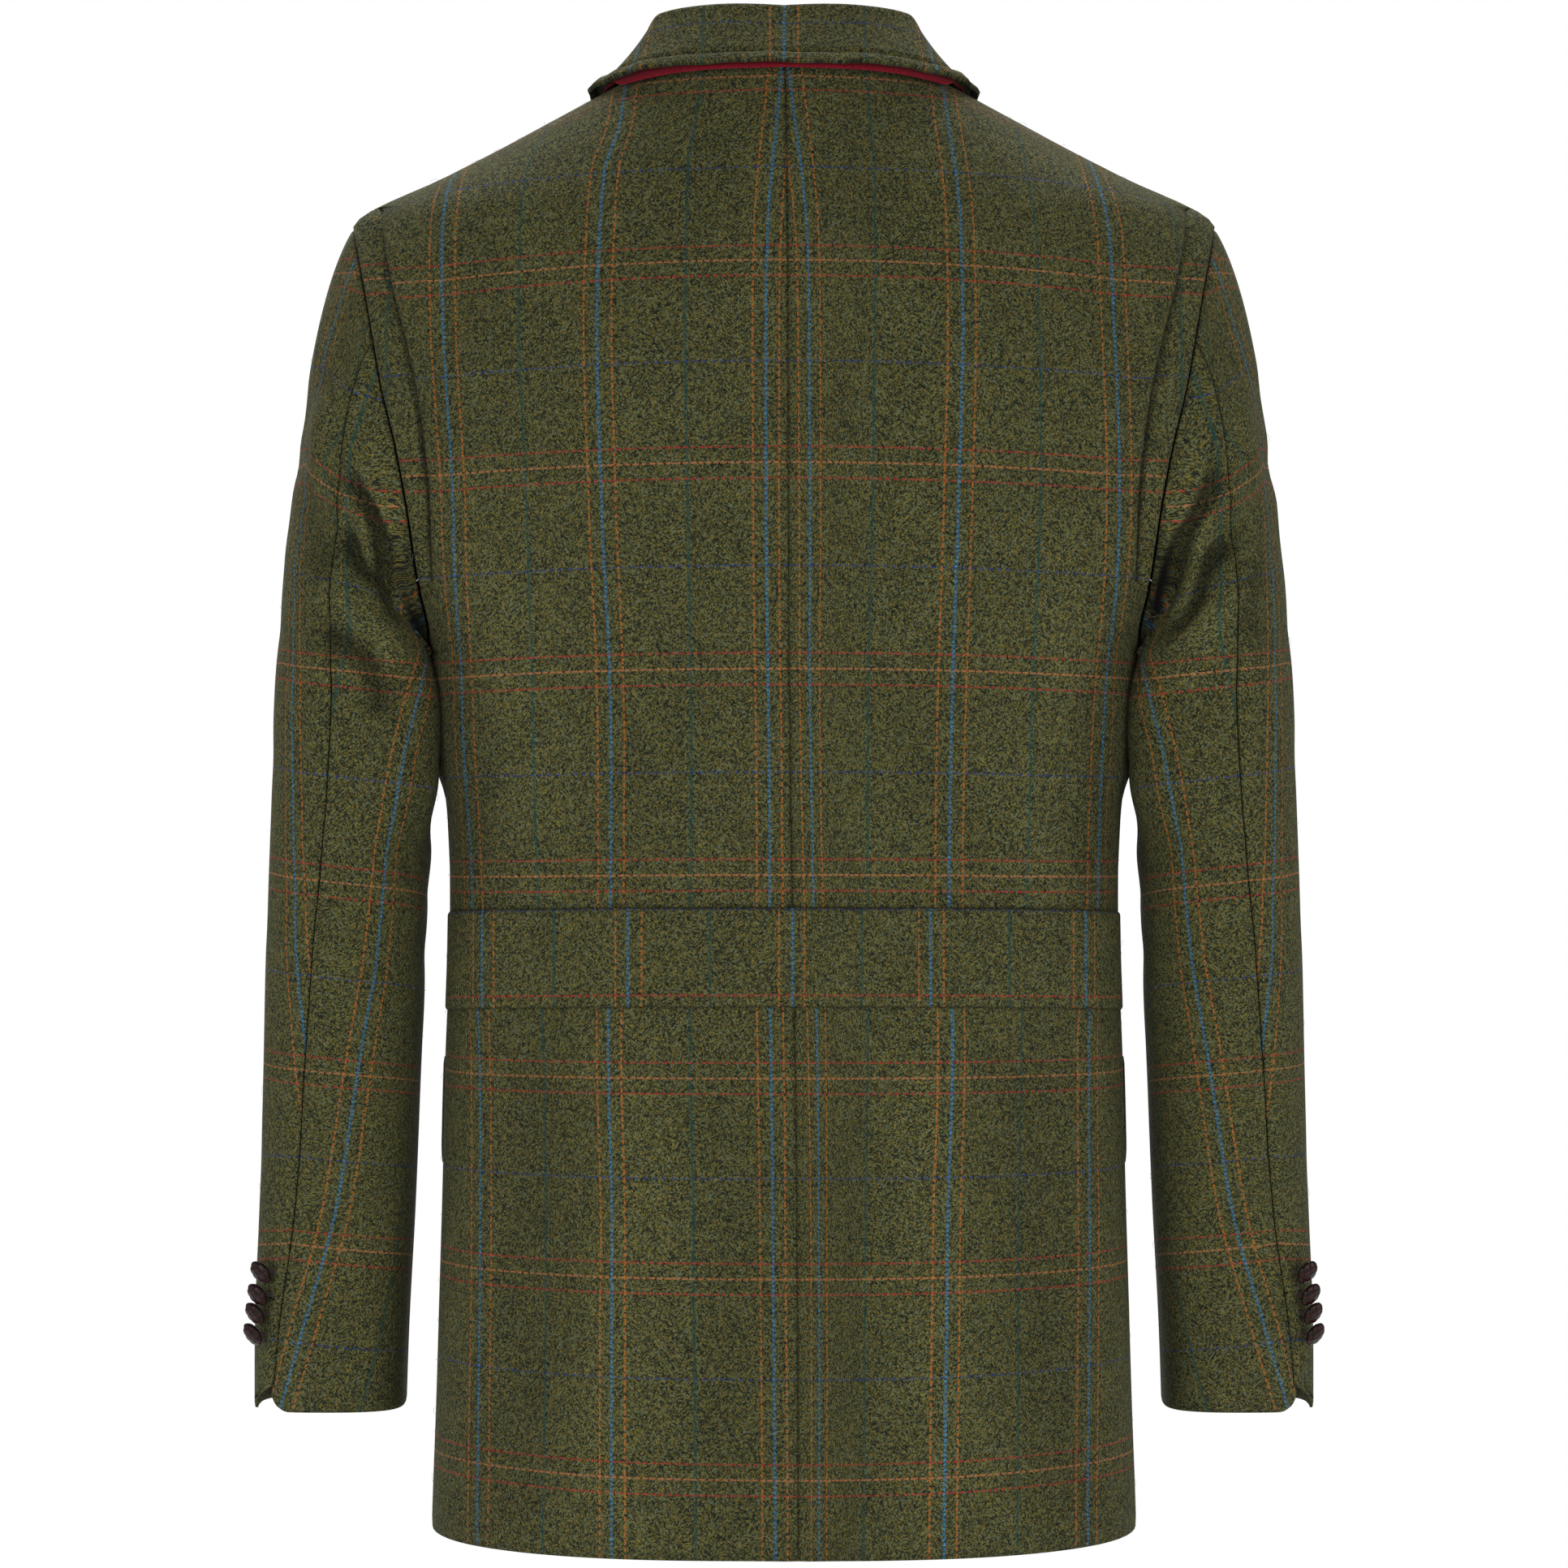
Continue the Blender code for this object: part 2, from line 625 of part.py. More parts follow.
def hind_angle(z):
    """The angle of the hind-arm seam on a sleeve ring, from where it is seen at the back."""
    angles = np.linspace(*HIND_ANGLES, 200)
    return float(np.interp(SLEEVE["hind_x"](z), sleeve_ring(z, angles)[:, 0], angles))


def ring_angles(start_angles, hind, fore, hind_now):
    """Spread the armhole's columns between the two seams as they lie on this ring."""
    base, end = start_angles[hind], start_angles[fore]
    upper = hind_now + (start_angles - base) * (FORE_ANGLE - hind_now) / (end - base)
    under_span = 360 - FORE_ANGLE + hind_now
    wrapped = np.where(start_angles >= end, start_angles - 360, start_angles)
    under = hind_now + (wrapped - base) * under_span / (360 - end + base)
    inside = (start_angles >= base) & (start_angles <= end)
    return np.where(inside, upper, under)


def sleeve_grid(ring_points, start_angles, hind, fore):
    """Sleeve sections from the armhole's own points down to the cuff."""
    first = SLEEVE_ROWS[0]
    angles = ring_angles(start_angles, hind, fore, hind_angle(first))
    biceps = sleeve_ring(first, angles)
    below = sleeve_ring(SLEEVE_ROWS[1], angles)
    near_armpit = (0.5 + 0.5 * np.cos(np.radians(start_angles)))[:, None] ** 2
    leave = unit(
        near_armpit * np.array(CAP_LEAVE_ARMPIT)
        + (1 - near_armpit) * np.array(CAP_LEAVE_TIP)
    )
    arrive = unit(below - biceps)
    reach = CAP_STRENGTH * np.linalg.norm(biceps - ring_points, axis=1)[:, None]
    sections = []
    for t in np.linspace(0, 1, CAP_STEPS):
        start = ring_points * (1 + 2 * t) * (1 - t) ** 2
        end = biceps * (3 - 2 * t) * t**2
        bend = leave * t * (1 - t) ** 2 + arrive * (t - 1) * t**2
        clear = CAP_CLEAR * near_armpit * 4 * t * (1 - t) * np.array((1.0, 0.0, 0.0))
        sections.append(start + end + reach * bend + clear)
    for z in SLEEVE_ROWS[1:]:
        angles = ring_angles(start_angles, hind, fore, hind_angle(z))
        sections.append(sleeve_ring(z, angles))
    return np.array(sections)


def crease_depth(points, centre):
    """Soft creases that run slanting round the arm."""
    offset = points - centre
    angles = np.degrees(np.arctan2(offset[..., 1], -offset[..., 0])) % 360
    radius = np.linalg.norm(offset[..., :2], axis=-1)
    depth = np.zeros(points.shape[:-1])
    for crease in SLEEVE_CREASES:
        around = np.radians((angles - crease.angle + 180) % 360 - 180) * radius
        along = around
        across = points[..., 2] - crease.z - crease.fall * around
        depth += (
            crease.depth
            * np.exp(-((along / crease.half_length) ** 2))
            * np.exp(-((across / crease.half_width) ** 2))
        )
    return depth


def vent_cut(grid, hind):
    """The cuff edge rises to the vent in a slanting cut on both sides of the hind seam."""
    last = grid[-1].copy()
    columns = len(last)
    for step in range(1, columns):
        for side, reach in ((1, VENT_UPPER_REACH), (-1, VENT_UNDER_REACH)):
            column = (hind + side * step) % columns
            away = np.linalg.norm(grid[-1, column] - grid[-1, hind])
            if step <= columns // 2 and away < reach:
                last[column, 2] += VENT_NOTCH * (1 - away / reach)
    last[hind, 2] += VENT_NOTCH
    grid[-1] = last
    return grid


def make_sleeves(edge, edge_normals, tweed):
    """Two-piece sleeves that start from the armhole edge, just inside its hole."""
    ahead = np.roll(edge, -1, axis=0) - np.roll(edge, 1, axis=0)
    into_hole = unit(np.cross(edge_normals, ahead))
    centre = edge.mean(axis=0)
    if np.sum(into_hole * (centre - edge)) < 0:
        into_hole = -into_hole
    start = edge + into_hole * (SEAM_GAP + 0.1)
    gaps = np.linalg.norm(np.roll(start, -1, axis=0) - start, axis=1)
    tip = len(ARMPIT_ROWS) + len(PLEAT_ROWS) - 1
    travelled = np.concatenate(((0,), np.cumsum(gaps[:-1])))
    half = travelled[tip]
    whole = travelled[-1] + gaps[-1]
    rising = 180 * travelled / half
    falling = 180 + 180 * (travelled - half) / (whole - half)
    start_angles = np.where(travelled <= half, rising, falling)
    hind = len(ARMPIT_ROWS) + PLEAT_ROWS.index(HIND_ARMHOLE_ROW)
    fore = tip + list(PLEAT_ROWS[::-1]).index(FORE_ARMHOLE_ROW)
    grid = sleeve_grid(start, start_angles, hind, fore)
    normals = grid_normals(grid, closed=True)
    axis = grid.mean(axis=1, keepdims=True)
    if np.sum(normals * (grid - axis)) < 0:
        normals = -normals
    creases = crease_depth(grid, axis)
    creases[0] = 0
    grid = grid - normals * creases[..., None]
    grid = vent_cut(grid, hind)
    from_tip = np.abs(start_angles - 180)
    follow_body = ease(105, 65, from_tip)[:, None]
    normals[0] = unit(follow_body * edge_normals + (1 - follow_body) * normals[0])
    columns = len(start_angles)
    upper = list(range(hind, fore + 1))
    under = [c % columns for c in range(fore, columns + hind + 1)]
    for name, picked in (("upper_sleeve", upper), ("under_sleeve", under)):
        outer, out = grid[:, picked], normals[:, picked]
        first = unit(outer[:, 1] - outer[:, 0]) * SEAM_GAP / 2
        last = unit(outer[:, -2] - outer[:, -1]) * SEAM_GAP / 2
        outer[:, 0] += first
        outer[:, -1] += last
        both_sides(name, outer, outer - TWEED * out, tweed)


def make_flaps(tweed):
    spans = []
    for row in FLAP_ROWS:
        down = np.clip(FLAP_ROWS[0] + FLAP_CORNER - row, 0, FLAP_CORNER)
        cut = FLAP_CORNER - math.sqrt(FLAP_CORNER**2 - down**2)
        start = moved_turn(FLAP_REAR_TURN, row, cut)
        end = moved_turn(FLAP_FRONT_TURN, row, -cut)
        spans.append((row, start, end))
    turns, rows = grid_of(spans, FLAP_COLUMNS)
    outer, normals = skin(turns, rows, no_rise, FLAP_LIFT)
    both_sides("hip_flap", outer, outer - TWEED * normals, tweed)


def make_button(name, centre, axis, radius, half_thick, leather):
    mesh = bmesh.new()
    bmesh.ops.create_uvsphere(
        mesh, u_segments=BUTTON_SEGMENTS, v_segments=BUTTON_RINGS, radius=1.0
    )
    size = Matrix.Diagonal((radius, radius, half_thick)) * METRES
    turned = Vector(axis).to_track_quat("Z", "Y").to_matrix()
    bmesh.ops.transform(mesh, matrix=(turned @ size).to_4x4(), verts=mesh.verts)
    button = finish(name, mesh, leather)
    button.location = Vector(centre) * METRES


def cuff_button_place(z):
    """Centre and axis of a cuff button, beside the hind-arm seam and tilted downwards."""
    angle = hind_angle(z)
    ring = sleeve_ring(z, np.array((angle, angle + 1.0)))
    angle += CUFF_BUTTON_FROM_SEAM / np.linalg.norm(ring[1] - ring[0])
    ring = sleeve_ring(z, np.array((angle - 1.0, angle, angle + 1.0)))
    along = ring[2] - ring[0]
    out = np.array((-along[1], along[0], 0.0))
    out = out / np.linalg.norm(out)
    if out[0] < 0:
        out = -out
    tilt = math.radians(CUFF_BUTTON_TILT)
    axis = out * math.cos(tilt) - UP * math.sin(tilt)
    reach = BUTTON_RADIUS * math.sin(tilt) + BUTTON_HALF_THICK * math.cos(tilt)
    return ring[1] + out * (reach + BUTTON_STANDOFF), axis


def make_buttons(leather):
    for number, z in enumerate(CUFF_BUTTON_ZS, start=1):
        centre, axis = cuff_button_place(z)
        for side, flip in (("left", 1.0), ("right", -1.0)):
            mirror = np.array((flip, 1.0, 1.0))
            name = f"cuff_button_{side}_{number}"
            size = BUTTON_RADIUS, BUTTON_HALF_THICK
            make_button(name, centre * mirror, axis * mirror, *size, leather)
    for number, row in enumerate(FRONT_BUTTON_ROWS, start=1):
        surface, out = skin(np.array(180.0), np.array(float(row)), closure_rise)
        centre = surface + out * (FRONT_BUTTON_HALF_THICK + BUTTON_STANDOFF)
        size = FRONT_BUTTON_RADIUS, FRONT_BUTTON_HALF_THICK
        make_button(f"front_button_{number}", centre, out, *size, leather)


def make_material(name, colour, roughness):
    material = bpy.data.materials.new(name)
    material.use_nodes = True
    shader = material.node_tree.nodes["Principled BSDF"]
    shader.inputs["Base Color"].default_value = (*colour, 1.0)
    shader.inputs["Roughness"].default_value = roughness
    shader.inputs["Metallic"].default_value = 0.0
    return material


def clear_scene():
    for obj in list(bpy.data.objects):
        bpy.data.objects.remove(obj, do_unlink=True)


clear_scene()
JACKET = bpy.data.collections.new("hunting_jacket")
bpy.context.scene.collection.children.link(JACKET)


def main():
    tweed = make_material("olive_tweed", (0.075, 0.072, 0.028), 0.9)
    felt = make_material("red_felt", (0.36, 0.006, 0.018), 0.95)
    leather = make_material("brown_leather", (0.022, 0.012, 0.010), 0.35)
    armpit, armpit_out = make_backs(tweed)
    pleat, pleat_out = make_underlays(tweed)
    front, front_out = make_fronts(tweed)
    edge = np.concatenate((armpit, pleat, front))
    edge_out = np.concatenate((armpit_out, pleat_out, front_out))
    make_sleeves(edge, edge_out, tweed)
    make_lapel("lapel_left", LEFT_LAPEL_LOWEST, closure_rise, 1, tweed)
    make_lapel("lapel_right", RIGHT_LAPEL_LOWEST, no_rise, -1, tweed)
    make_collar(tweed, felt)
    make_flaps(tweed)
    make_buttons(leather)


main()
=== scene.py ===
"""Looks of the hunting jacket: fine cloth shells with folds, check, weave, buttons and fuzz.

The tables repeat the sizes of the solids, in millimetres, and the same surfaces are sampled
finely here. The jacket is seen from the back, filled out as if worn.
"""

import math
from collections import namedtuple

import bpy
import numpy as np
from mathutils import Matrix, Vector


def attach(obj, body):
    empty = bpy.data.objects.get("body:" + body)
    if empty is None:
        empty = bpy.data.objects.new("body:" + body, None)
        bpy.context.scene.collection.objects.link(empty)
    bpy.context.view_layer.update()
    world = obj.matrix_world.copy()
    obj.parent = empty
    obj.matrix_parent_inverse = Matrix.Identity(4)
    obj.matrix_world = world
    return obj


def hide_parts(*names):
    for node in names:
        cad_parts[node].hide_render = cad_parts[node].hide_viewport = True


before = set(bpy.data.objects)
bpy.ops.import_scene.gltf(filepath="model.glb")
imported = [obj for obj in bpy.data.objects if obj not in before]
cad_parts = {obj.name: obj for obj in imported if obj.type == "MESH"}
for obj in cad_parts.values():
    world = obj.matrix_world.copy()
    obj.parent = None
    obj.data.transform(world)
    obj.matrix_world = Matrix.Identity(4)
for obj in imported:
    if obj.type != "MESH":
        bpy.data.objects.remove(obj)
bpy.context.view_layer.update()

METRES = 0.001
TWEED = 2.0
FELT = 1.5
SEAM_GAP = 0.3
SEAM_TOUCH = -0.06
SLEEVE_SET_IN = 0.2
EDGE_INSET = 0.3
EDGE_DROP = 0.4
UP = np.array((0.0, 0.0, 1.0))
TINY = 1e-9

# Steps and counts for measuring the curved surfaces.
NORMAL_TURN_STEP = 0.3
NORMAL_ROW_STEP = 0.5
MOVE_STEP = 0.05
RING_SAMPLES = 181
PLACE_ROUNDS = 32
EDGE_ROUNDS = 8

# Painted shades, darkness painted into the cloth's colour, go from 0 in the open to 1 well hidden.
# A shell's are for its rim, inside and edge.
RIM_SHADE = (0.25, 0.5, 0.7)

# A soft ridge, trough or shade beside a line: its height, half width and distance from the line.
Ridge = namedtuple("Ridge", "height half_width at", defaults=(0.0,))
SEAM_RIDGE = Ridge(0.35, 4.5, 7.5)
SEAM_DIP = Ridge(-0.8, 2.6)
SEAM_SHADE = Ridge(0.4, 1.1)
SEAM_CALM = 20
RIPPLE_SIZES = {
    "back": 0.5, "underlay": 0.3, "front": 0.45, "lapel": 0.4, "collar": 0.3, "sleeve": 0.4,
    "flap": 0.3,
}


def table(fields, *rows):
    """Rows of numbers that are named by column."""
    row_type = namedtuple("Row", fields)
    return tuple(row_type(*row) for row in rows)


BODY_RINGS = table(
    "name back_z side_z front_z half_width back_y side_y front_y squareness",
    ("hem", -773, -769, -772, 190.5, 130, 0, -126, 2.5),
    ("seat", -690, -693, -690, 188.0, 126, 0, -124, 2.5),
    ("hip", -600, -604, -600, 185.0, 120, 0, -121, 2.5),
    ("pocket", -517, -523, -517, 183.0, 114.5, 0, -119, 2.5),
    ("waist", -450, -456, -450, 181.0, 112, 0, -118, 2.5),
    ("ribs", -385, -389, -385, 182.8, 117, 0, -123, 2.5),
    ("lower_side", -372, -376, -372, 184.0, 118, 0, -124, 2.5),
    ("side", -362, -366, -362, 187.2, 119, 0, -125, 2.5),
    ("below_arm", -340, -343, -341, 189.0, 121.5, 0, -128, 2.5),
    ("underarm", -300, -302, -304, 193.0, 125, 0, -131, 2.5),
    ("arm_bottom", -266, -267, -274, 211.0, 127, 0, -132, 2.5),
    ("chest", -225, -226, -245, 230.0, 127, 0, -130, 2.5),
    ("blade", -160, -161, -205, 243.0, 124, 0, -125, 2.5),
    ("upper_blade", -110, -109, -176, 241.0, 118, 0, -116, 2.4),
    ("shoulder_tip", -70, -68.5, -150, 233.0, 110, 0, -103, 2.25),
    ("mid_shoulder", -43, -42.5, -128, 183.0, 103, 3, -90, 2.1),
    ("near_neck", -13, -15, -102, 130.0, 92, 6, -76, 2.0),
    ("neck", 13.5, 4, -75, 90.0, 79, 8, -62, 2.0),
)
FRONT_ROUNDING = 1.7

ARMHOLE_ROWS = table(
    "row back_x fold_x front_x",
    (-300, 193.0, 185.0, 193.0),
    (-296, 190.5, 185.0, 189.0),
    (-288, 189.5, 185.0, 184.5),
    (-266, 194.0, 185.5, 183.0),
    (-225, 199.5, 186.0, 185.5),
    (-190, 206.0, 189.0, 190.0),
    (-160, 213.5, 193.5, 196.0),
    (-135, 218.5, 199.0, 204.0),
    (-110, 223.5, 206.0, 214.0),
    (-88, 228.5, 211.0, 225.0),
    (-70, 233.0, 215.5, 233.0),
)
UNDERARM_ROW = -300
TIP_ROW = -70

PLEAT_END_ROW = -262
PLEAT_TOP_ROW = -61
PLEAT_FADE_ROWS = (-335, -268)
PLEAT_TUCK = 24
PLEAT_RISE = 2.7
PLEAT_RISE_FULL = 27
PLEAT_RISE_END = 72
PLEAT_FLAT_ROWS = (-92, -62)
PLEAT_FLATTENED = 0.8
PLEAT_LOW_SPREAD = (-9, 3)
PLEAT_ROLL = Ridge(-1.3, 2.4)
PLEAT_FOLD_SHADE = Ridge(0.9, 1.3)
UNDERLAY_TOP_SINK = 2.3
UNDERLAY_TOP_SINK_SPREAD = (4, 0)
UNDERLAY_TOP_RISE = 0.5
UNDERLAY_TOP_RISE_SPREAD = (2, 5)
UNDERLAY_FOLD_SINK = Ridge(1.3, 7.0)
UNDERLAY_LOW_SINK = 2.6
UNDERLAY_CALM = 5
UNDERLAY_EDGE_DIP = Ridge(-0.5, 2.6)
UNDERLAY_SHADE = Ridge(1.0, 1.5)
UNDERLAY_SHADE_START = 2.0
UNDERLAY_LOW_ROWS = (-280, -273, -266)

HEM_ROW = -773
BELT_EDGES = (-486, -434)
BELT_PUFF = 0.7
BELT_PUFF_POWER = 5
BELT_END_SHARE = 0.06
BELT_END_LENGTH = 44
BELT_RIM_SHADE = 0.4
BELT_EDGE_SHADE = Ridge(0.35, 0.8)
LOWER_ROWS = (
    HEM_ROW, -600, -488, -486, -484.6, -460, -435.4, -434, -432, -390, -374, -362, -335,
)
ARMPIT_ROWS = (-300, -296, -288, -266)
PLEAT_ROWS = (-262, -225, -190, -160, -135, -110, -88, -70)
SHOULDER_ROWS = (-62.2, -61, -53, -43, -28, -13, 13.5)
CORNER_ROWS = (HEM_ROW, -768, -758, -740, -712)
FRONT_LOWER_ROWS = (-660, -600, -486, -434, -390, -374, -362, -335)
FRONT_TOP_ROWS = (-43, -13, 13.5)
ROW_STEP = 6.5
HEM_CALM_ROWS = 6
SEAM_SHARES = (0.0, 0.006, 0.013, 0.022, 0.034, 0.05)
BACK_SHARES = np.concatenate((SEAM_SHARES, np.linspace(0.072, 1, 34)))
TUCK_SHARES = np.concatenate((np.linspace(0, 0.8, 8), (0.88, 0.94, 0.975, 1.0)))
STRIP_SHARES = np.linspace(0, 1, 9)
FRONT_SHARES = np.linspace(0, 1, 40)
SHOULDER_SHARES = np.linspace(0, 1, 8)
STRIP_END = 1.4

FRONT_OVERLAP = 20
BREAK_Z = -345
ROLL_TOP_X = 76
ROLL_TOP_Z = -38
CLOSURE_RISE = 3.0
CLOSURE_FULL_X = 26
CLOSURE_END_X = 72
CLOSURE_TOP_ROWS = (-255, -200)
HEM_CORNER_RADIUS = 60
FRONT_CALM = (6, 40)

LAPEL_ROWS = table(
    "roll_z notch_x notch_z edge_x edge_z",
    (-334, -8, -331, -2, -328),
    (-290, 14, -287, 31, -284),
    (-230, 42, -224, 70, -216),
    (-165, 70, -155, 105, -142),
    (-105, 90, -96, 128, -97),
    (-44, 104, -42, 143, -78),
)
LEFT_LAPEL_LOWEST = -334
RIGHT_LAPEL_LOWEST = -306
LAPEL_COVER_GAP = 2.5
LAPEL_RISE = 3.6
LAPEL_ROLL_RISE = 4.6
LAPEL_COLUMNS = 15
LAPEL_SECTIONS = 42
LAPEL_STITCHES = Ridge(-0.45, 1.2, 5.0)
LAPEL_LINE = 30

COLLAR_ROWS = table(
    "turn fold_rise fold_out edge_turn edge_row edge_lift",
    (0, 29.5, -11.0, 0, 5.0, 11.0),
    (30, 32.0, -10.0, 30, 4.7, 10.0),
    (56, 33.0, -10.5, 58, 3.6, 6.5),
    (75, 25.0, -13.0, 76, 3.8, 4.4),
    (90, 21.5, -12.5, 90, 4.8, 4.4),
    (108, 11.0, -3.0, 104, 4.0, 5.0),
    (121, 3.5, 2.5, 113, -4.0, 5.0),
)
COLLAR_STEPS = 46
COLLAR_POINTS = 44
COLLAR_WALL = 2.4
COLLAR_SEAM_RISE = 1.5
STAND_LEAN = 2.0
STAND_INSET = 2.2
FALL_SAG = 1.5
FALL_SHARES = (0.14, 0.36, 0.6, 0.82, 1.0)
FOLD_RADIUS = 3.0
CROWN_INSET = 0.8
COLLAR_BAND = 8.5
COLLAR_BAND_RISE = 2.2
COLLAR_BAND_SLOPE = 2.6
COLLAR_BAND_WAVES = ((0.25, 5.3), (0.15, 2.1))
COLLAR_GROOVE = Ridge(-1.8, 1.6, COLLAR_BAND + 0.8)
COLLAR_FACING = (0.0, 1.0, 0.3)
UNDERCOLLAR_TURN = 85
UNDERCOLLAR_SHOW = ((0.0, -0.4), (0.25, 0.2), (0.5, 2.0), (0.62, 2.0), (0.76, 0.0), (1.0, 0.0))
UNDERCOLLAR_TUCK = ((0.0, 0.0), (0.62, 0.0), (0.78, 7.0), (1.0, 7.0))
UNDERCOLLAR_REACH = 8.5
UNDERCOLLAR_COLUMNS = 9

SLEEVE_RINGS = table(
    "name z inner_x outer_x front_y back_y hind_x squareness",
    ("biceps", -318, 201.8, 274.4, -74, 76, 239.2, 2.2),
    ("below_armpit", -343, 197.3, 275.8, -72, 75, 240.2, 2.2),
    ("gap_top", -366, 194.9, 276.5, -70, 73, 241.8, 2.2),
    ("above_elbow", -384, 192.6, 277.2, -69, 71, 243.3, 2.2),
    ("elbow", -402, 190.9, 278.0, -67, 69, 245.4, 2.2),
    ("forearm", -450, 193.5, 280.0, -63, 64, 250.0, 2.3),
    ("mid_forearm", -517, 197.0, 281.5, -62, 57, 255.6, 2.4),
    ("wrist", -600, 201.0, 284.8, -64, 44, 262.5, 2.6),
    ("vent", -660, 205.0, 288.0, -72, 29, 272.0, 2.8),
    ("cuff", -709.5, 207.5, 289.5, -84, 12, 278.0, 3.0),
)
SLEEVE_KEY_ROWS = (-318, -343, -366, -384, -410, -450, -600, -675, -709.5)
CAP_STEPS = 62
SLEEVE_STEP = 3.4
SLEEVE_TIMES = 3
CAP_LEAVE_TIP = (0.60, 0.0, -0.80)
CAP_LEAVE_ARMPIT = (0.95, 0.0, -0.31)
CAP_STRENGTH = 0.56
CAP_CLEAR = 2.5
SLEEVE_LEAN = 34
SLEEVE_LEAN_ROWS = (-410, -362)
HIND_ARMHOLE_ROW = -135
FORE_ARMHOLE_ROW = -225
FORE_ANGLE = 305
HIND_ANGLES = (85.0, 175.0)
ARMPIT_SHADE_ROWS = (-215, -255)
ARMPIT_SHADE = Ridge(0.8, 16)
ARMHOLE_CALM = 16
BEHIND_ARM = 30
VENT_NOTCH = 15.0
VENT_TAIL = 10
VENT_UPPER_REACH = 24.0
VENT_UNDER_REACH = 12.0
VENT_FADE = 0.999

SLEEVE_CREASES = table(
    "angle z fall half_length half_width depth",
    (88, -246, 0.9, 42, 11, 5.0),
    (84, -284, 0.8, 38, 12, -3.5),
    (276, -240, 0.8, 40, 12, 4.5),
    (70, -268, 0.9, 30, 6, 1.6),
    (96, -214, 0.8, 34, 8, 1.5),
    (62, -308, 0.7, 30, 8, 2.0),
    (128, -300, 0.5, 36, 14, 1.2),
    (60, -352, 0.5, 40, 13, 1.4),
    (110, -420, -0.4, 46, 17, 1.2),
    (75, -470, 0.35, 44, 15, -0.9),
    (100, -560, -0.3, 46, 16, 0.9),
    (215, -330, 0.5, 50, 15, 1.3),
    (300, -300, 0.7, 34, 10, 1.8),
    (280, -400, -0.6, 50, 12, 2.2),
    (292, -440, -0.6, 44, 11, 1.6),
    (12, -314, 0.0, 80, 36, -7.0),
)
CREASE_WANDER = 2.0
CREASE_WAVE = 9

FOLD_WANDER = 5.0
FOLD_WANDER_SHARE = 0.5
FOLD_WAVES = 7.0
FOLD_START = (-0.15, 0.2)
FOLD_END = (1.2, 0.8)
# Limits of the painted fold shade; below 0 a ridge is painted lighter.
FOLD_SHADES = (-0.2, 0.85)
BACK_FOLD_DEPTH = 7.0
SLEEVE_FOLD_DEPTH = 2.8
FOLD_FIELDS = "x0 z0 x1 z1 half_width depth"
BACK_FOLDS = table(
    FOLD_FIELDS,
    (184, -262, 158, -432, 15, 1.6),
    (150, -250, 128, -430, 20, -0.9),
    (60, -300, 96, -436, 22, 0.8),
    (120, -486, 150, -773, 24, 1.5),
    (78, -500, 88, -773, 26, -1.3),
    (34, -520, 26, -773, 20, 1.0),
    (20, -30, 90, -110, 18, 0.9),
    (168, -90, 186, -250, 12, 0.9),
)
SLEEVE_FOLDS = {
    "left": table(
        FOLD_FIELDS,
        (229, -207, 195, -290, 5.0, 5.0),
        (220, -196, 193, -268, 5.5, -2.2),
        (232, -235, 204, -281, 5.0, 4.6),
        (231, -220, 200, -288, 5.0, -2.6),
        (238, -256, 207, -304, 7.0, -2.4),
        (240, -282, 206, -330, 8.0, 2.2),
        (250, -146, 262, -200, 6.5, 3.4),
        (243, -160, 252, -215, 6.5, -2.4),
        (262, -205, 246, -262, 9.0, 2.0),
    ),
    "right": table(
        FOLD_FIELDS,
        (227, -203, 196, -288, 5.5, 4.8),
        (219, -192, 194, -262, 5.5, -2.0),
        (235, -240, 205, -290, 5.5, 4.2),
        (230, -222, 201, -290, 5.0, -2.6),
        (240, -264, 208, -312, 7.5, -2.2),
        (252, -150, 263, -208, 7.0, 3.0),
        (244, -168, 253, -224, 7.0, -2.2),
        (264, -224, 244, -292, 9.0, 1.8),
    ),
}
FRONT_FOLDS = table(
    FOLD_FIELDS,
    (30, -380, 120, -330, 16, 1.4),
    (26, -470, 110, -440, 18, 1.1),
    (170, -300, 130, -420, 18, 1.4),
    (90, -580, 110, -770, 24, 1.4),
    (150, -110, 175, -240, 14, 1.2),
)

FLAP_REAR_TURN = 91
FLAP_FRONT_TURN = 142
FLAP_ROWS = (-575, -571, -560, -543, -512)
FLAP_CORNER = 16
FLAP_LIFT = 3.2
FLAP_SHARES = np.linspace(0, 1, 24)
FLAP_STEP = 4.0
FLAP_REAR_DIP = Ridge(-2.0, 8.0)
FLAP_CLOTH_START = (20, -90)

BUTTON_RADIUS = 7.0
BUTTON_HALF_THICK = 3.0
CUFF_BUTTON_ZS = (-631.5, -644.0, -654.5, -666.0)
CUFF_BUTTON_FROM_SEAM = 10.5
CUFF_BUTTON_TILT = 30
FRONT_BUTTON_RADIUS = 10.5
FRONT_BUTTON_HALF_THICK = 3.8
FRONT_BUTTON_ROWS = (-368, -458, -548)
BUTTON_STANDOFF = 1.2
SHANK_REACH = 4.5
BUTTON_SEGMENTS = 48
BUTTON_RINGS = 26
BUTTON_FACE = (-0.35, 0.25)
BUTTON_GROOVE = 0.13
BUTTON_SPIN = 25
STRAPS_PER_RADIUS = 1.5
STRAP_BOW = 0.22
STRAP_END_DROP = 0.45
TUBE_SIDE = (0.31, 0.57, 0.76)
THREAD_RADIUS = 0.36
THREAD_HOLD = 0.6
THREAD_SINK = 0.4
THREAD_BOW = 0.4
THREAD_GATHERED = (0.7, 0.6)
THREAD_POINTS = 8
FRONT_THREAD_SINK = 0.5
FRONT_THREAD_GATHERED = 0.5
FRONT_THREAD_POINTS = 6
CUFF_THREADS = (-0.9, -0.3, 0.3, 0.9)
